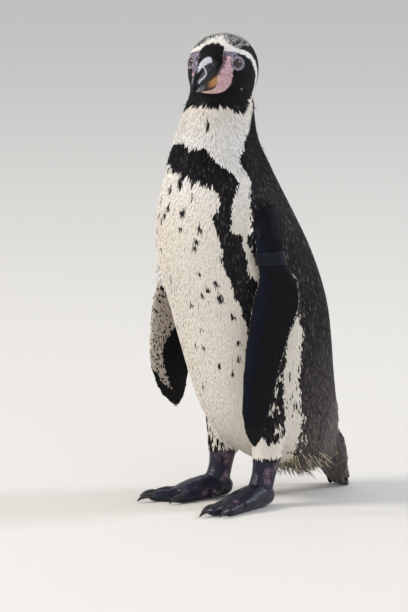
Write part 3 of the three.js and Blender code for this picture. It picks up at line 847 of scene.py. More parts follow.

# %% [markdown]
# ## One feather
# A body feather is a vane on a quill, pressed on the one below by the wind and by preening.
# Flat cards with a picture of a vane would be lighter, but they have no thickness and shade
# badly from the side. So a blade is a closed body of a few triangular rings and a tip. Its
# normals are set so that it shades as a gently rounded vane and not as a wedge.

# %% Lay the blades
STATIONS = np.array([0.0, 0.42, 0.78, 1.0])
BREADTH = np.array([0.6, 1.0, 0.78, 0.0])

def lay(roots, way, length, width, rise, stations=STATIONS, breadth=BREADTH, stray=0.0, spin=0.1, curl=0.35,
        thick=0.075):
    """Blades of the given length, width and height over the skin at the tip, in mm. Stray lifts
    some tips by so much more, spin turns them at the root, curl rounds their shading, and thick
    is their thickness as a share of their width. Gives the points of the blades, one point near
    each tip, the skin's normal there, and the normals to shade by."""
    count = len(roots)
    length, width, rise = [np.broadcast_to(v, count).astype(float) for v in (length, width, rise)]
    length = length * rng.uniform(0.85, 1.2, count)
    width = width * rng.uniform(0.85, 1.15, count)
    rise = rise * rng.uniform(0.9, 1.0, count)
    lift = stray * rng.random(count) ** 3
    here, normal = drape(roots)
    way = unit(way - (way * normal).sum(1, keepdims=True) * normal)
    side = np.cross(normal, way)
    way = unit(way + side * rng.normal(0, spin, (count, 1)))
    rings, facing, spot = [], [], here.copy()
    for k, s in enumerate(stations):
        if k:
            spot = spot + way * (length * (s - stations[k - 1]))[:, None]
            ground, normal = drape(spot)
            spot = spot - ((spot - ground) * normal).sum(1, keepdims=True) * normal
            way = unit(way - (way * normal).sum(1, keepdims=True) * normal)
            side = np.cross(normal, way)
        height = rise * (0.02 + 0.98 * s) - 0.3 * (1 - s) + lift * s * s
        middle = spot + normal * height[:, None]
        half = (width / 2 * breadth[k])[:, None]
        crown = normal * (thick * width)[:, None]
        if k < len(stations) - 1:
            rings.append([middle - side * half - crown, middle + crown, middle + side * half - crown])
            facing += [normal - side * curl, normal, normal + side * curl]
        else:
            rings.append([middle])
            facing += [normal]
    points = np.stack([p for ring in rings for p in ring], 1)
    return points, rings[-2][1], normal, np.stack(facing, 1)

print("a blade is drawn through", len(STATIONS), "stations along its quill")

# %% Faces of a blade
def blade_faces(rings):
    """Triangles of one blade with so many rings."""
    faces = [(0, 1, 2)]
    for k in range(rings - 1):
        a, b = 3 * k, 3 * k + 3
        for i, j in ((0, 1), (1, 2), (2, 0)):
            faces += [(a + i, b + j, a + j), (a + i, b + i, b + j)]
    tip, last = 3 * rings, 3 * (rings - 1)
    faces += [(last + i, tip, last + j) for i, j in ((0, 1), (1, 2), (2, 0))]
    return np.array(faces)

print("triangles in a blade of three rings:", len(blade_faces(3)))

# %% A place on the map, and the tint of the white
MAP_HEIGHT = 520                         # mm of the bird's height that the map takes in
def unwrap(points, normals, part):
    """Each root's place on the flattened skin, from 0 to 1 both ways."""
    angle, _ = round_body(points)
    u = (angle + 180) / 360
    v = points[:, 2] / MAP_HEIGHT
    head = points[:, 2] > 440
    ahead, left, over = to_head(points)
    u = np.where(head, np.arctan2(left, ahead) / (2 * np.pi) + 0.5, u)
    for side, number in (("left", 3), ("right", 4)):
        here = part == number
        if here.any():
            across, inner = along_flipper(points[here], side)
            u[here] = 0.25 + 0.2 * np.clip(across, -1.2, 1.2) + 0.5 * inner
            v[here] = (points[here, 2] - 60) / 290
    tail = part == 2
    u[tail] = 0.25 + points[tail, 0] / 200 + 0.5 * (normals[tail, 2] < -0.3)
    v[tail] = (points[tail, 1] - 60) / 110
    return np.stack([np.clip(u, 0.004, 0.996), np.clip(v, 0.004, 0.996)], 1)

def cream_of(points):
    """How much the white is tinted: under the throat, low on the belly and below the tail."""
    z, y = points[:, 2], points[:, 1]
    throat = fade(z, 405, 30) * fade(z, 452, -8) * 0.25
    below = fade(z, 85, -30) * fade(y, 25, 40) * 0.9
    return np.clip(throat + below + 0.24 * fade(z, 380, -60), 0, 1)

print("the map takes in", MAP_HEIGHT, "mm of height")

# %% [markdown]
# ## One piece of the coat
# Thousands of blades go into one mesh, written in one go through arrays, which is far faster
# than adding faces one by one. Each blade brings the same number for all its points, and a
# patch of its own on the map called OFBake, at its root's place on the flattened skin.

# %% Build a piece of the coat
PATCH = 0.0028                  # the side of one blade's patch on the map
coat_pieces = []
LOWEST, HIGHEST = [on_bird(np.array(corner)) for corner in cad_box]
def make_coat(name, roots, root_normals, part, laid, rings=3, tint=None, only=None, ragged=0.5):
    """One mesh of many blades, with the numbers that its material reads. Only names the blades
    to take, tint overrides some of the numbers, and ragged blurs the markings by so many mm."""
    if only is not None:
        roots, root_normals, part = roots[only], root_normals[only], part[only]
        laid = [values[only] for values in laid]
        tint = {key: values[only] for key, values in (tint or {}).items()}
    blades, seen, seen_normals, facing = laid
    blades = np.clip(blades, LOWEST + [0, 0, 0.3], HIGHEST)     # nothing passes the solids' own box
    count, each = blades.shape[:2]
    base = blade_faces(rings)
    faces = (base[None] + (np.arange(count) * each)[:, None, None]).reshape(-1, 3)
    mesh = bpy.data.meshes.new(name)
    mesh.vertices.add(count * each)
    mesh.vertices.foreach_set("co", placed(blades.reshape(-1, 3)).ravel())
    mesh.loops.add(faces.size)
    mesh.loops.foreach_set("vertex_index", faces.ravel().astype(np.int32))
    mesh.polygons.add(len(faces))
    mesh.polygons.foreach_set("loop_start", np.arange(len(faces), dtype=np.int32) * 3)
    mesh.update(calc_edges=True)
    mesh.validate()
    dark, pink, _ = markings(seen + rng.normal(0, ragged, seen.shape), seen_normals, part)
    low_back = fade(seen[:, 2], 200, -130) * fade(seen[:, 1], -10, 60)
    worn = low_back * rng.uniform(0, 0.75, count)
    angle, _ = round_body(seen)
    aged = fade(seen[:, 2], 395, -60) * (0.45 + 0.55 * fade(np.abs(angle), 70, 20))
    numbers = {"dark": dark, "pink": pink, "luck": rng.random(count), "cream": cream_of(seen),
               "painted_blue_reflection": np.zeros(count), "faded": worn, "aged": aged * (part != 3) * (part != 4)}
    numbers.update(tint or {})
    for key, values in numbers.items():
        put_number(mesh, key, np.repeat(values, each))
    step = np.append(np.repeat(np.arange(rings), 3), rings) / rings
    put_number(mesh, "along", np.tile(step, count))
    place = unwrap(roots, root_normals, part)
    local = np.array([(i % 3 - 1, k) for i, k in zip(range(each), step)], float)
    local = np.stack([local[:, 0] * PATCH * 0.5, (local[:, 1] - 0.5) * PATCH], 1)
    patch = (place[:, None, :] + local[None]).reshape(-1, 2)
    layer = mesh.uv_layers.new(name="OFBake")
    layer.data.foreach_set("uv", patch[faces.ravel()].astype(np.float32).ravel())
    mesh.materials.append(plumage)
    mesh.shade_smooth()
    mesh.normals_split_custom_set_from_vertices(unit(facing).reshape(-1, 3).tolist())
    thing = bpy.data.objects.new(name, mesh)
    bpy.context.scene.collection.objects.link(thing)
    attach(thing, "root")
    coat_pieces.append(len(faces))
    print(f"{name}: {count} feathers, {len(faces)} triangles")

# %% [markdown]
# ## Feather material
# Feathers are keratin. Black ones carry melanin and have a cool gloss along the blade, and
# on the back they age to brown-grey with pale tips. White ones scatter all light and are a
# little creamy from preening oil. One material serves the whole coat, since each feather
# brings its own numbers: dark, aged, faded, a painted blue reflection, creamy, and a luck that varies its
# tone.

# %% Plumage: the white
plumage, tree, shader = new_material("keratin_feather")
zone = {key: add(tree, "Attribute", attribute_name=key).outputs["Fac"]
        for key in ("dark", "pink", "luck", "along", "cream", "painted_blue_reflection", "aged", "faded")}
luck = {0: zone["luck"]}

def tones(*codes):
    """Stops of a ramp read by luck: most feathers have the first tone, a few the last."""
    places = (0.0, 0.7, 0.92, 1.0) if len(codes) == 4 else (0.0, 0.65, 1.0)
    return list(zip(places, codes))

clean = add(tree, "ValToRGB", luck, tones("#f0eeeb", "#ebe8e4", "#e0dcd5"))
bare_arm = add(tree, "ValToRGB", luck, tones("#cabab0", "#b0a097", "#978881"))
white = add(tree, "Mix", {0: zone["cream"], 6: clean.outputs[0], 7: "#cdb68a"}, data_type="RGBA")
white = add(tree, "Mix", {0: zone["pink"], 6: white.outputs[2], 7: bare_arm.outputs[0]}, data_type="RGBA")

# %% Plumage: the black
# new feathers are blue-black; the sun bleaches the tips of old ones, most of all low on the back
fresh = add(tree, "ValToRGB", luck, tones("#0a0b11", "#11121a", "#2b2a2d", "#5d5751"))
old = add(tree, "ValToRGB", luck, tones("#1c1a1e", "#2b282b", "#494545", "#787169"))
tip = add(tree, "Mix", {0: zone["aged"], 6: fresh.outputs[0], 7: old.outputs[0]}, data_type="RGBA")
black = add(tree, "Mix", {0: zone["along"], 6: "#0a0a0c", 7: tip.outputs[2]}, data_type="RGBA")
bleached = add(tree, "Mix", {0: zone["along"], 6: "#383537", 7: "#8b827e"}, data_type="RGBA")
black = add(tree, "Mix", {0: zone["faded"], 6: black.outputs[2], 7: bleached.outputs[2]}, data_type="RGBA")
# painted reflection: the front edge of the left flipper is mixed toward dark navy
black = add(tree, "Mix", {0: zone["painted_blue_reflection"], 6: black.outputs[2], 7: "#0c1530"}, data_type="RGBA")
colour = add(tree, "Mix", {0: zone["dark"], 6: white.outputs[2], 7: black.outputs[2]}, data_type="RGBA")
tree.links.new(colour.outputs[2], shader.inputs["Base Color"])

# %% Plumage: gloss
rough = add(tree, "MapRange", {0: zone["dark"], 3: 0.75, 4: 0.52})
tree.links.new(rough.outputs[0], shader.inputs["Roughness"])
shader.inputs["IOR"].default_value = 1.54                       # keratin
shader.inputs["Specular IOR Level"].default_value = 0.09        # the barbs break most of its gloss
shader.inputs["Sheen Weight"].default_value = 0.012
shader.inputs["Sheen Roughness"].default_value = 0.4
shader.inputs["Sheen Tint"].default_value = linear("#aebbd6")
print(plumage.name, "has", len(tree.nodes), "nodes")

# %% [markdown]
# ## Growing the coat
# Feathers are tiny on the face, small on head and flippers, and grow to about 10 mm on the
# body. A real coat has far more of them, each showing only its tip; here about ten blades
# overlap at every place, which looks as dense. Each region is scattered at its own spacing,
# and the body is cut into pieces, because one mesh of the whole coat would be too heavy.

# %% Coat of the neck
# on the neck the feathers are loose, and a few stand out from the rest
SPACING = {"neck": 1.12, "body": 1.38, "head": 0.88, "flipper": 1.2, "tail": 1.9, "rump": 2.6,
           "below_tail": 2.1}           # mm between roots
high = skin_at[:, 2]
is_head = ((skin_part == 1) | (high > 448)) & (high > 432)
roots, root_normals, root_part = scatter((skin_part == 0) & (high > 372) & ~is_head, SPACING["neck"])
loose = np.where(rng.random(len(roots)) < 0.03, 5.0, 0.9)
laid = lay(roots, lie(roots, root_part), length=8.2, width=1.7, rise=1.6, stray=loose, curl=0.16)
make_coat("coat_neck", roots, root_normals, root_part, laid)

# %% Coat of the body
trunk_and_thighs = ((skin_part == 0) & (high <= 374)) | ((skin_part == 5) & (high > 57))
roots, root_normals, root_part = scatter(trunk_and_thighs, SPACING["body"])
length = np.interp(roots[:, 2], [50, 90, 374], [8, 11.5, 10.5])
laid = lay(roots, lie(roots, root_part), length, width=2.4, rise=np.where(root_part == 5, 1.0, 1.5),
           stray=0.15, curl=0.13)
angle, _ = round_body(laid[1])
FRONT, SIDE = 62, 125                   # degrees round the body where one piece ends
split = {
    "coat_breast": (np.abs(angle) <= FRONT) & (laid[1][:, 2] > 235),
    "coat_belly": (np.abs(angle) <= FRONT) & (laid[1][:, 2] <= 235),
    "coat_flank_left": (angle > FRONT) & (angle <= SIDE),
    "coat_flank_right": (angle < -FRONT) & (angle >= -SIDE),
    "coat_back_left": angle > SIDE,
    "coat_back_right": angle < -SIDE}
for name, here in split.items():
    make_coat(name, roots, root_normals, root_part, laid, only=here,
              ragged=0.85 if name in ("coat_breast", "coat_belly") else 1.3)

# %% [markdown]
# ## Head and flippers
# The feathers of the face are hardly longer than fur, and leave the bare skin round bill and
# eyes free. On the flippers they have become scales: tiny, stiff and pressed flat, so that
# the wing cuts the water, with a fringe along its rear edge. Toward the body both grow into
# the longer coat.

# %% Coat of the head
roots, root_normals, root_part = scatter(is_head & (bare_face < 0.5), SPACING["head"])
ahead, left, over = to_head(roots)
length = np.interp(ahead, [-30, 10, 40], [5.2, 3.8, 2.3])
laid = lay(roots, lie(roots, root_part), length, width=length * 0.29,
           rise=np.interp(ahead, [0, 38], [1.1, 0.6]), stray=0.4)
for name, here in (("coat_head_right", left < 0), ("coat_head_left", left >= 0)):
    make_coat(name, roots, root_normals, root_part, laid, only=here,
              tint={"luck": rng.random(len(roots)) * 0.88})

# %% Coat of the flippers
for side, number in (("left", 3), ("right", 4)):
    roots, root_normals, root_part = scatter(skin_part == number, SPACING["flipper"])
    near_body = fade(roots[:, 2], 275, 40)
    across, inner = along_flipper(roots, side)
    edge = fade(np.abs(across), 0.7, 0.25) * (1 - near_body)
    edge = np.maximum(edge, fade(roots[:, 2], 108, -14))       # and the tip
    way = lie(roots, root_part) * (1 - edge[:, None]) - [0, 0, 1e-3] - edge[:, None] * [0, 0, 1.0]
    laid = lay(roots, unit(way), length=(4.3 + 4.5 * near_body) * (1 - 0.3 * edge),
               width=1.5 + 0.6 * near_body - 0.5 * edge,
               rise=(0.5 + 0.7 * near_body) * (1 - 0.6 * edge), stray=0.05, curl=0.2)
    # painted reflection: dark navy along the front edge of the left flipper's outer face; the right flipper
    # gets none
    painted_blue_reflection = fade(across, -0.35, -0.5) * (side == "left") * ~inner * 0.8
    painted_blue_reflection = painted_blue_reflection * fade(roots[:, 2], 90, 50) * fade(roots[:, 2], 322, -30)
    make_coat(f"coat_flipper_{side}", roots, root_normals, root_part, laid,
              tint={"painted_blue_reflection": painted_blue_reflection, "cream": np.zeros(len(roots)), "luck": rng.random(len(roots)) * 0.8})

# %% [markdown]
# ## The tail
# The tail is short and stiff. Small coverts clothe its root, and long narrow quills lie in a
# fan over it, grey-brown and frayed at the tips. The quills are blades too, only longer and
# with more rings, so that they can follow the bend of the tail down to the floor.

# %% Tail coverts
roots, root_normals, root_part = scatter(skin_part == 2, SPACING["tail"])
laid = lay(roots, lie(roots, root_part), length=14, width=3.2, rise=1.3, stray=1.0)
make_coat("coat_tail", roots, root_normals, root_part, laid,
          tint={"faded": rng.uniform(0.5, 1.0, len(roots))})

rump = (skin_part != 6) & (skin_at[:, 1] > 60) & (high > 50) & (high < 122) & (skin_out[:, 2] > -0.55)
roots, root_normals, root_part = scatter(rump, SPACING["rump"])
laid = lay(roots, unit([0, 0.5, -0.86] + 0 * roots), length=24, width=3.0, rise=1.8, stray=1.5)
make_coat("coat_rump", roots, root_normals, root_part, laid, tint={
    "faded": rng.uniform(0.4, 1.0, len(roots)), "dark": np.ones(len(roots))})

# %% Quills
quill_stations = np.array([0, 0.12, 0.3, 0.5, 0.7, 0.86, 1.0])
quill_breadth = np.array([0.5, 0.85, 1.0, 1.0, 0.85, 0.5, 0.0])
# rows of quills behind the tail: their height, and their places across; then one row below it
ROWS = ((64, np.linspace(-30, 30, 9)), (50, np.linspace(-27, 27, 9)), (36, np.linspace(-22, 22, 8)))
aims = [(x, 150, z) for z, places in ROWS for x in places]
aims += [(x, 60, 30) for x in np.linspace(-22, 22, 8)]
roots, root_normals = drape(np.array(aims, float))
fan = roots[:, 0] * 0.006                # each leans outward by its place
way = unit(np.stack([fan, np.full(len(roots), 0.6), np.full(len(roots), -0.8)], 1))
to_tip = np.hypot(152 - roots[:, 1], roots[:, 2])
laid = lay(roots, way, np.clip(to_tip, 24, 70), 7.5, 1.6, quill_stations, quill_breadth, stray=1.5,
           spin=0.07)
make_coat("tail_quills", roots, root_normals, np.full(len(roots), 2), laid, rings=6,
          tint={"faded": rng.uniform(0.8, 1.0, len(roots))})

# %% [markdown]
# ## Loose feathers
# Below the tail hang long thin coverts, stained yellow and ragged, and white tufts stick out
# where each flipper leaves the body. Both are blades of a thread's width that are lifted far
# from the skin, each by its own luck.

# %% Loose coverts under the tail
below_tail = ((skin_part == 0) | (skin_part == 2)) & (high < 54)
below_tail &= (skin_at[:, 1] > 34) & (skin_at[:, 1] < 80) & (skin_out[:, 2] < -0.35) & (high > 20)
roots, root_normals, root_part = scatter(below_tail, SPACING["below_tail"])
way = unit(np.array([0, 0.6, -0.8]) + rng.normal(0, 0.16, (len(roots), 3)))
laid = lay(roots, way, rng.uniform(12, 30, len(roots)), width=1.3, rise=2.0, stray=15.0, spin=0.16,
           curl=1.2, thick=0.3)
stain = rng.uniform(0.3, 1.0, len(roots))
make_coat("coverts_under_tail", roots, root_normals, np.zeros(len(roots), int), laid,
          tint={"cream": stain, "dark": np.where(rng.random(len(roots)) < 0.6, 0.9, 0.3)})

# %% Tufts by the flippers
tuft_aims = []
for turned, z in ((-47, 257), (-50, 262)):        # degrees round the body, and the height
    front, rear, half, _ = profile(BODY, [z])[0]
    for _ in range(90):
        a, h = math.radians(turned + rng.normal(0, 3)), z + rng.normal(0, 6)
        tuft_aims.append(((half + 6) * math.sin(a), (front + rear) / 2 - 90 * math.cos(a), h))
roots, root_normals = drape(np.array(tuft_aims))
way = unit(np.array([0, 0, -1.0]) + root_normals * 0.3)
laid = lay(roots, way, length=12, width=1.0, rise=2.5, stray=12.0, spin=0.3, curl=1.5, thick=0.4)
make_coat("tufts_by_flippers", roots, root_normals, np.zeros(len(roots), int), laid,
          tint={"dark": np.zeros(len(roots)), "cream": np.zeros(len(roots))})

# %% [markdown]
# ## The bill
# A Humboldt's bill is a stout wedge of horn: a ridge along the top, a long groove with a
# nostril slit on each side, a hooked tip, and pale bars across it. It could be sculpted by
# hand; here it is drawn as sections along the head, with the groove and the growth plates
# pressed in from the side, so that the two halves meet along one straight mouth line.

# %% Sections of the bill
# ahead, top, bottom and half width in mm, and how full the section is
UPPER_BILL = [
    [26, 15.5, -9, 10, 2.5], [38, 16.8, -9, 10.3, 2.5], [52, 14.8, -10, 9.4, 2.4],
    [66, 10.8, -11.5, 8, 2.3], [78, 5.4, -13, 6.4, 2.2], [86, 0, -14, 4.8, 2], [92, -6, -15.6, 3, 2],
    [95, -11, -16.8, 1.3, 2]]
LOWER_BILL = [
    [26, 4, -18.5, 9.2, 2.3], [40, 1, -19, 9.5, 2.3], [54, -1, -18.6, 8.3, 2.3],
    [68, -4, -17.8, 6.6, 2.2], [80, -7, -17, 4.4, 2], [87.5, -10, -15.5, 2, 2]]
HOOK_AT = 88                             # mm ahead, where the upper half begins to hook down

def bill_line(ahead):
    """Height at which the two halves meet."""
    return -1.5 - (ahead - GAPE_AT) * GAPE_FALL

def upper_half(left, over, across, ahead, top, rel):
    """Narrows the ridge, presses in groove and nostril, and cuts the mouth line and the hook."""
    line = bill_line(ahead)
    left = left * (1 - 0.16 * fade(rel, 0.62, 0.38))
    groove = hump(over, top - 5.2, 1.1) * fade(ahead, 40, 5) * fade(ahead, 70, -8)
    nostril = hump(over, top - 5.6, 0.6) * hump(ahead, 52, 3.2, 4)
    plates = 0.16 * math.sin(ahead * 1.1) * fade(ahead, 60, 6)
    pressed = 0.5 * groove + 0.9 * nostril - plates * (rel < 0.8)
    left = left - np.sign(left) * pressed * (np.abs(across) > 0.3)
    over = np.maximum(over, line if ahead < HOOK_AT else line - (ahead - HOOK_AT) * 2.0)
    cutting_edge = hump(over, line + 0.8, 0.9) * (over > line + 0.05)
    return left + np.sign(left) * 0.25 * cutting_edge, over

def lower_half(left, over, across, ahead):
    """Presses in the growth plates and cuts the mouth line, a little below the upper half."""
    plates = 0.14 * math.sin(ahead * 1.3 + 1)
    left = left - np.sign(left) * plates * (np.abs(across) > 0.3)
    return left, np.minimum(over, bill_line(ahead) - 0.3)

def bill_half(rows, upper, around=72, stations=110):
    """Points and faces of one half, and for each point how far ahead it lies, its height over
    the mouth line, and its height from 0 below to 1 on top."""
    places = np.linspace(rows[0][0], rows[-1][0], stations)
    angle = np.linspace(0, 2 * np.pi, around, endpoint=False)
    rings, marks = [], []
    for ahead, (top, bottom, half, full) in zip(places, profile(rows, places)):
        across = fuller(np.sin(angle), full)
        over = (top + bottom) / 2 + (top - bottom) / 2 * fuller(np.cos(angle), full)
        rel = (over - bottom) / max(top - bottom, 1e-6)
        if upper:
            left, over = upper_half(half * across, over, across, ahead, top, rel)
        else:
            left, over = lower_half(half * across, over, across, ahead)
        rings.append(from_head(np.full(around, ahead), left, over))
        marks.append(np.stack([np.full(around, ahead), over - bill_line(ahead), rel], 1))
    points, faces = loft(rings)
    marks = np.vstack([np.vstack(marks), marks[0].mean(0), marks[-1].mean(0)])
    return points, faces, marks

print("the bill reaches", UPPER_BILL[-1][0] - HEAD[-1][0], "mm beyond the face")

# %% Horn of the bill
# keratin, grown in layers over the bone and scuffed by digging and preening; its pale colour also paints a
# highlight along the ridge
GROWTH = 2.0                             # mm across a growth line
SCUFF = 2 / 3                            # mm across a scuff
bill_horn, tree, shader = new_material("bill_horn_grown_scuffed_with_painted_highlight")
where = add(tree, "TexCoord").outputs["Object"]
pale = add(tree, "Attribute", attribute_name="pale").outputs["Fac"]
warm = add(tree, "Attribute", attribute_name="warm").outputs["Fac"]
grain = add(tree, "TexNoise", {"Vector": where, "Scale": scale_of(GROWTH), "Detail": 6.0})
scuff = add(tree, "TexNoise", {"Vector": where, "Scale": scale_of(SCUFF), "Detail": 4.0})
horn = add(tree, "ValToRGB", {0: grain.outputs[0]},
           [(0.3, "#040407"), (0.58, "#0b0c11"), (0.78, "#1c1d24")])
# this pale ramp colours both the real pale bar and the painted highlight along the ridge
bar = add(tree, "ValToRGB", {0: scuff.outputs[0]},
          [(0.36, "#3c3d47"), (0.48, "#bcbecb"), (0.6, "#f2f3f8")])
olive = add(tree, "ValToRGB", {0: grain.outputs[0]},
            [(0.3, "#8c7040"), (0.5, "#b07f48"), (0.7, "#cc8a58")])
colour = add(tree, "Mix", {0: pale, 6: horn.outputs[0], 7: bar.outputs[0]}, data_type="RGBA").outputs[2]
colour = add(tree, "Mix", {0: warm, 6: colour, 7: olive.outputs[0]}, data_type="RGBA").outputs[2]
tree.links.new(colour, shader.inputs["Base Color"])
rough = add(tree, "MapRange", {0: scuff.outputs[0], 1: 0.3, 2: 0.7, 3: 0.26, 4: 0.5})
tree.links.new(rough.outputs[0], shader.inputs["Roughness"])
bump = add(tree, "Bump", {"Height": grain.outputs[0], "Strength": 0.12, "Distance": 0.0004})
tree.links.new(bump.outputs[0], shader.inputs["Normal"])
shader.inputs["IOR"].default_value = 1.54           # keratin
shader.inputs["Specular IOR Level"].default_value = 0.13         # scuffing dulls it
print(bill_horn.name, "has", len(tree.nodes), "nodes")

# %% Pale bar, painted highlight and warm parts of the bill
# ahead, over: a pale bar runs down from the ridge and forward along the cutting edge
PALE_BAR = [(69.8, 8.5), (70.8, 4.9), (72.2, 1.5), (78.6, -1.6), (84.1, -3.4), (88, -5.6)]
# painted highlight: a pale strip along the top of the upper half, as if lit from above
PAINTED_RIDGE_HIGHLIGHT = ([42, 51, 62, 73, 80], [2.5, 7, 4.8, 2.2, 1.5])     # ahead, and its half width there

def far_from(x, y, line):
    """How far each point is from a line of straight pieces."""
    nearest = np.full(len(x), np.inf)
    for (x1, y1), (x2, y2) in zip(line, line[1:]):
        run, climb = x2 - x1, y2 - y1
        along = np.clip(((x - x1) * run + (y - y1) * climb) / (run ** 2 + climb ** 2), 0, 1)
        nearest = np.minimum(nearest, np.hypot(x - x1 - along * run, y - y1 - along * climb))
    return nearest

def tint_upper(points, ahead, above, rel):
    """Where the upper half is pale, with a painted highlight along its ridge, and where it is warm: along
    the gape at its base.
    """
    _, left, over = to_head(points)
    bars = hump(far_from(ahead, over, PALE_BAR), 0, 1.1)
    # painted highlight along the ridge
    ridge = np.clip((np.interp(ahead, *PAINTED_RIDGE_HIGHLIGHT) - np.abs(left)) / 1.2, 0, 1) * (rel > 0.5)
    ridge = ridge * fade(ahead, 41, 4) * fade(ahead, 82, -5)
    warm = hump(above, 0, 1.6) * fade(ahead, 52, -8) * 0.8
    return np.clip(bars * 0.9 + ridge * 0.95, 0, 1), warm

def tint_lower(ahead, rel):
    """The lower half is paler toward its tip, and warm over its base."""
    return fade(ahead, 70, 16) * 0.35, fade(ahead, 70, -14) * fade(rel, 0.1, 0.3) * 0.95

print("the pale bar runs through", len(PALE_BAR), "points")

# %% The two halves of the bill
for name, rows, upper in (("bill_upper", UPPER_BILL, True), ("bill_lower", LOWER_BILL, False)):
    points, faces, marks = bill_half(rows, upper)
    piece = new_object("horn_" + name, points, faces, bill_horn)
    ahead, above, rel = marks.T
    # pale holds the real pale bar and the painted highlight along the ridge
    pale, warm = tint_upper(points, ahead, above, rel) if upper else tint_lower(ahead, rel)
    put_number(piece.data, "pale", pale)
    put_number(piece.data, "warm", warm)
    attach(piece, "root")
    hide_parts(name)
    print(piece.name, len(faces), "faces")

# %% [markdown]
# ## The eyes
# A wet ball with a dark red-brown iris round a black pupil. The clear cornea bulges a little
# in front; it is a glossy coat over the painted ball, which keeps the eye in one closed piece.

# %% Wet eye
SPOKE = 0.3846                           # mm between the fine spokes of the iris
IRIS = 4.6                               # mm, its radius
eye_wet, tree, shader = new_material("wet_eye_with_clear_coat")
from_pupil = add(tree, "Attribute", attribute_name="from_pupil").outputs["Fac"]
where = add(tree, "TexCoord").outputs["Object"]
spokes = add(tree, "TexNoise", {"Vector": where, "Scale": scale_of(SPOKE), "Detail": 3.0})
iris = add(tree, "ValToRGB", {0: from_pupil}, [
    (0.0, "#020202"), (0.40, "#020202"), (0.46, "#26100c"), (0.70, "#3f1e17"), (0.86, "#190b09"),
    (1.0, "#0b0606")])
flecked = add(tree, "Mix", {0: 0.35, 6: iris.outputs[0], 7: spokes.outputs[0]},
              data_type="RGBA", blend_type="OVERLAY").outputs[2]
tree.links.new(flecked, shader.inputs["Base Color"])
shader.inputs["Roughness"].default_value = 0.25
shader.inputs["IOR"].default_value = 1.38           # the cornea, hardly denser than water
shader.inputs["Coat Weight"].default_value = 0.7
shader.inputs["Coat Roughness"].default_value = 0.02
print(eye_wet.name, "has", len(tree.nodes), "nodes")

# %% Eyeballs
turned = np.linspace(0, 2 * np.pi, 64, endpoint=False)[:, None]
for side, middle in eyes.items():
    out = EYE_OUT[side]
    flat_a = unit(np.cross(out, [0, 0, 1.0]))
    flat_b = np.cross(out, flat_a)
    circle = np.cos(turned) * flat_a + np.sin(turned) * flat_b
    rings, marks = [], []
    for polar in np.linspace(0, np.pi, 49)[1:-1]:
        ring = EYE_RADIUS * math.sin(polar)
        cornea = 0.35 * math.exp(-(ring / 3.2) ** 2) if polar < 1.2 else 0
        rings.append(middle + out * (EYE_RADIUS * math.cos(polar) + cornea) + ring * circle)
        marks.append(np.full(len(turned), min(ring / IRIS, 1) if polar < 1.57 else 1))
    points, faces = loft(rings)
    ball = new_object(f"eyeball_{side}", points, faces, eye_wet)
    put_number(ball.data, "from_pupil", np.concatenate(marks + [[0], [1]]))
    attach(ball, "root")
    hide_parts(f"eye_{side}")
    print(ball.name, len(faces), "faces, radius", EYE_RADIUS, "mm")

# %% [markdown]
# ## The claws
# Blunt black horns, one at the end of each toe and a small one on each hind toe. They go
# through the same places as their solids, but round and ridged on top, and are worn smooth.

# %% Horn of the claws
CLAW_GROWTH = 1.43                       # mm across a growth line
claw_horn, tree, shader = new_material("claw_horn_worn_smooth")
where = add(tree, "TexCoord").outputs["Object"]
growth = add(tree, "TexNoise", {"Vector": where, "Scale": scale_of(CLAW_GROWTH), "Detail": 5.0})
tone = add(tree, "ValToRGB", {0: growth.outputs[0]}, [(0.3, "#0c0b0d"), (0.7, "#2c282a")])
tree.links.new(tone.outputs[0], shader.inputs["Base Color"])
gloss = add(tree, "MapRange", {0: growth.outputs[0], 3: 0.2, 4: 0.45})
tree.links.new(gloss.outputs[0], shader.inputs["Roughness"])
shader.inputs["IOR"].default_value = 1.54           # keratin
print(claw_horn.name, "has", len(tree.nodes), "nodes")

# %% Shape of a claw
# ankle, the turn of the whole foot, and the turn and length of each toe
FEET = {"left": [(39, -14), 4, {"inner": (-9, 62), "middle": (4, 82), "outer": (16, 71)}],
        "right": [(-39, -5), -17, {"inner": (4, 62), "middle": (-18, 82), "outer": (-36, 71)}]}
# distance past the toe's end, height, half width, half thickness
CLAW = [
    [-6, 5.4, 3.2, 2.8], [1, 6.2, 3.3, 3], [6, 6, 2.7, 2.6], [11, 4.4, 1.8, 1.9], [15, 1.8, 0.7, 0.8]]
HIND_CLAW = [
    [8, 7, 1.8, 1.8], [13, 5.8, 1.7, 1.7], [16, 4.4, 1.2, 1.2], [18.5, 2.4, 0.5, 0.5]]

def on_foot(side, turned, distance, aside=0.0):
    """A level point of a foot, from its ankle along a line turned by so many degrees."""
    (x, y), a = FEET[side][0], math.radians(turned)
    return np.array([x + distance * math.sin(a) + aside * math.cos(a),
                     y - distance * math.cos(a) + aside * math.sin(a), 0.0])

def claw_shape(middles, wide, tall, across, around=24):
    """A tapering horn, flat below and ridged above, through the given middles."""
    ways = unit(np.gradient(middles, axis=0))
    angle = np.linspace(0, 2 * np.pi, around, endpoint=False)
    rings = []
    for middle, way, w, t in zip(middles, ways, wide, tall):
        side_way = unit(across - way * (across @ way))
        over = np.cross(side_way, way)
        over = over * (1 if over[2] > 0 else -1)
        breadth = np.sin(angle) * w * (1 - 0.15 * np.cos(angle))
        ridge = np.cos(angle) * t * np.where(np.cos(angle) > 0, 1.0, 0.85)
        rings.append(middle + np.outer(breadth, side_way) + np.outer(ridge, over))
    return loft(rings)

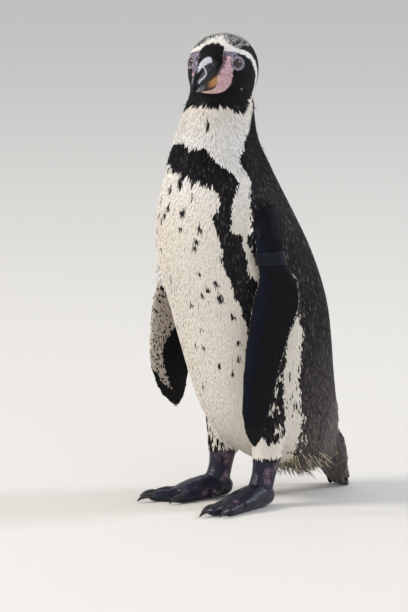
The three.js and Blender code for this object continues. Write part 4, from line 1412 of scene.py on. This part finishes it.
def add_claw(name, rows, steps, place, across):
    """A claw through the rows, whose middles lie at the given place for each distance."""
    past = np.linspace(rows[0][0], rows[-1][0], steps)
    height, wide, tall = profile(rows, past).T
    middles = np.array([place(d) for d in past]) + np.outer(height, [0, 0, 1])
    points, faces = claw_shape(middles, wide, tall, np.array(across))
    piece = new_object("horn_" + name, points, faces, claw_horn)
    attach(piece, "root")
    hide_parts(name)
    print(piece.name, len(faces), "faces")

# %% Claws
for side, (_, turned, toes) in FEET.items():
    for toe, (toe_turn, length) in toes.items():
        a = math.radians(toe_turn)
        add_claw(f"claw_{toe}_{side}", CLAW, 22, lambda d: on_foot(side, toe_turn, length + d),
                 [math.cos(a), math.sin(a), 0])
    inward = -1 if side == "left" else 1
    add_claw(f"claw_hallux_{side}", HIND_CLAW, 16,
             lambda d: on_foot(side, turned, 4 + d * 0.75, inward * (13 + d * 0.6)), [0, 0, 1.0])

# %% [markdown]
# ## The flipper band
# Keepers know their birds by a band. This one is a plain moulded strap closed round the upper
# left flipper, with rolled edges. Its own small section is carried round the flipper's oval.

# %% Rubber of the band
DUST = 2.5                               # mm across a patch of dust
strap, tree, shader = new_material("moulded_rubber_strap")
where = add(tree, "TexCoord").outputs["Object"]
dust = add(tree, "TexNoise", {"Vector": where, "Scale": scale_of(DUST), "Detail": 5.0})
tone = add(tree, "ValToRGB", {0: dust.outputs[0]}, [(0.35, "#060913"), (0.7, "#0d1524")])
tree.links.new(tone.outputs[0], shader.inputs["Base Color"])
matt = add(tree, "MapRange", {0: dust.outputs[0], 3: 0.25, 4: 0.42})
tree.links.new(matt.outputs[0], shader.inputs["Roughness"])
shader.inputs["IOR"].default_value = 1.5
shader.inputs["Specular IOR Level"].default_value = 0.2         # dust on the rubber dulls it
print(strap.name, "has", len(tree.nodes), "nodes")

# %% Band
ARM_THICKNESS = ([268, 282, 299], [6.0, 6.6, 7.5])       # height, and half the flipper's thickness, mm
BAND_HEIGHT = 280.5
AROUND_BAND = 128                        # points round the flipper
arm = np.array(FLIPPER["left"], float)
CHORD_LEFT, OUT_LEFT = CHORD["left"], np.array([CHORD["left"][1], -CHORD["left"][0], 0])
rings = []
for s in np.linspace(0, 2 * np.pi, 24, endpoint=False):          # round the strap's own section
    height = 7.3 * np.sign(math.cos(s)) * abs(math.cos(s)) ** 0.22
    away = 0.75 + 0.75 * np.sign(math.sin(s)) * abs(math.sin(s)) ** 0.6
    z = BAND_HEIGHT + height
    x, y, half = [np.interp(z, arm[:, 2], arm[:, k]) for k in (0, 1, 3)]
    thick = np.interp(z, *ARM_THICKNESS)
    rolled = 0.25 * math.exp(-((abs(height) - 6.6) / 0.5) ** 2) if away > 0.8 else 0
    angle = np.linspace(0, 2 * np.pi, AROUND_BAND, endpoint=False)
    along_chord = np.outer(np.cos(angle) * (half + 0.2 + away + rolled), CHORD_LEFT)
    outward = np.outer(np.sin(angle) * (thick + 0.2 + away + rolled), OUT_LEFT)
    rings.append(np.array([x, y, z]) + along_chord + outward)
faces = []
for i in range(len(rings)):
    for j in range(AROUND_BAND):
        here, there = i * AROUND_BAND, (i + 1) % len(rings) * AROUND_BAND
        k = (j + 1) % AROUND_BAND
        faces.append((here + j, here + k, there + k, there + j))
band = new_object("band_strap", np.vstack(rings), faces, strap)
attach(band, "root")
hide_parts("flipper_band")
print(band.name, len(faces), "faces")

# %% [markdown]
# ## Floor and light
# A plain pale floor and large soft lamps: a warm one high in front, a cooler one behind to
# draw the dark back away from the ground, and an even pale sky.

# %% Floor and light
FLOOR = 6                                # metres from its middle to an edge
BELOW = -0.0005                          # metres, just under the soles
paint, tree, shader = new_material("matt_floor_paint")
shader.inputs["Base Color"].default_value = linear("#e2e0dc")
shader.inputs["Roughness"].default_value = 0.9
corners = [(-FLOOR, -FLOOR, BELOW), (FLOOR, -FLOOR, BELOW), (FLOOR, FLOOR, BELOW), (-FLOOR, FLOOR, BELOW)]
floor_mesh = bpy.data.meshes.new("floor")
floor_mesh.from_pydata(corners, [], [(0, 1, 2, 3)])
floor_mesh.materials.append(paint)
floor = bpy.data.objects.new("floor", floor_mesh)
bpy.context.scene.collection.objects.link(floor)

def soft_lamp(name, place, size, watts, colour):
    """A round lamp so many metres wide, turned toward the breast."""
    lamp = bpy.data.lights.new(name, "AREA")
    lamp.shape, lamp.size, lamp.energy, lamp.color = "DISK", size, watts, linear(colour)[:3]
    thing = bpy.data.objects.new(name, lamp)
    thing.location = place
    thing.rotation_euler = (Vector(place) - Vector((0, 0, 0.3))).to_track_quat("Z", "Y").to_euler()
    bpy.context.scene.collection.objects.link(thing)

soft_lamp("key", (-1.9, -3.4, 3.3), 1.5, 145, "#fff6ea")
soft_lamp("fill", (4.0, -1.6, 1.8), 2.2, 18, "#eaf1ff")
soft_lamp("rim", (2.2, 3.4, 2.8), 1.4, 75, "#f3f6ff")
world = bpy.data.worlds.new("pale_room")
world.use_nodes = True
sky = world.node_tree.nodes["Background"]
sky.inputs[0].default_value = linear("#eceef1")
sky.inputs[1].default_value = 0.75
bpy.context.scene.world = world
bpy.context.scene.view_settings.view_transform = "Standard"

# %% Sizes of the coat
bpy.context.view_layer.update()
print("triangles in the coat:", sum(coat_pieces), "largest piece:", max(coat_pieces))
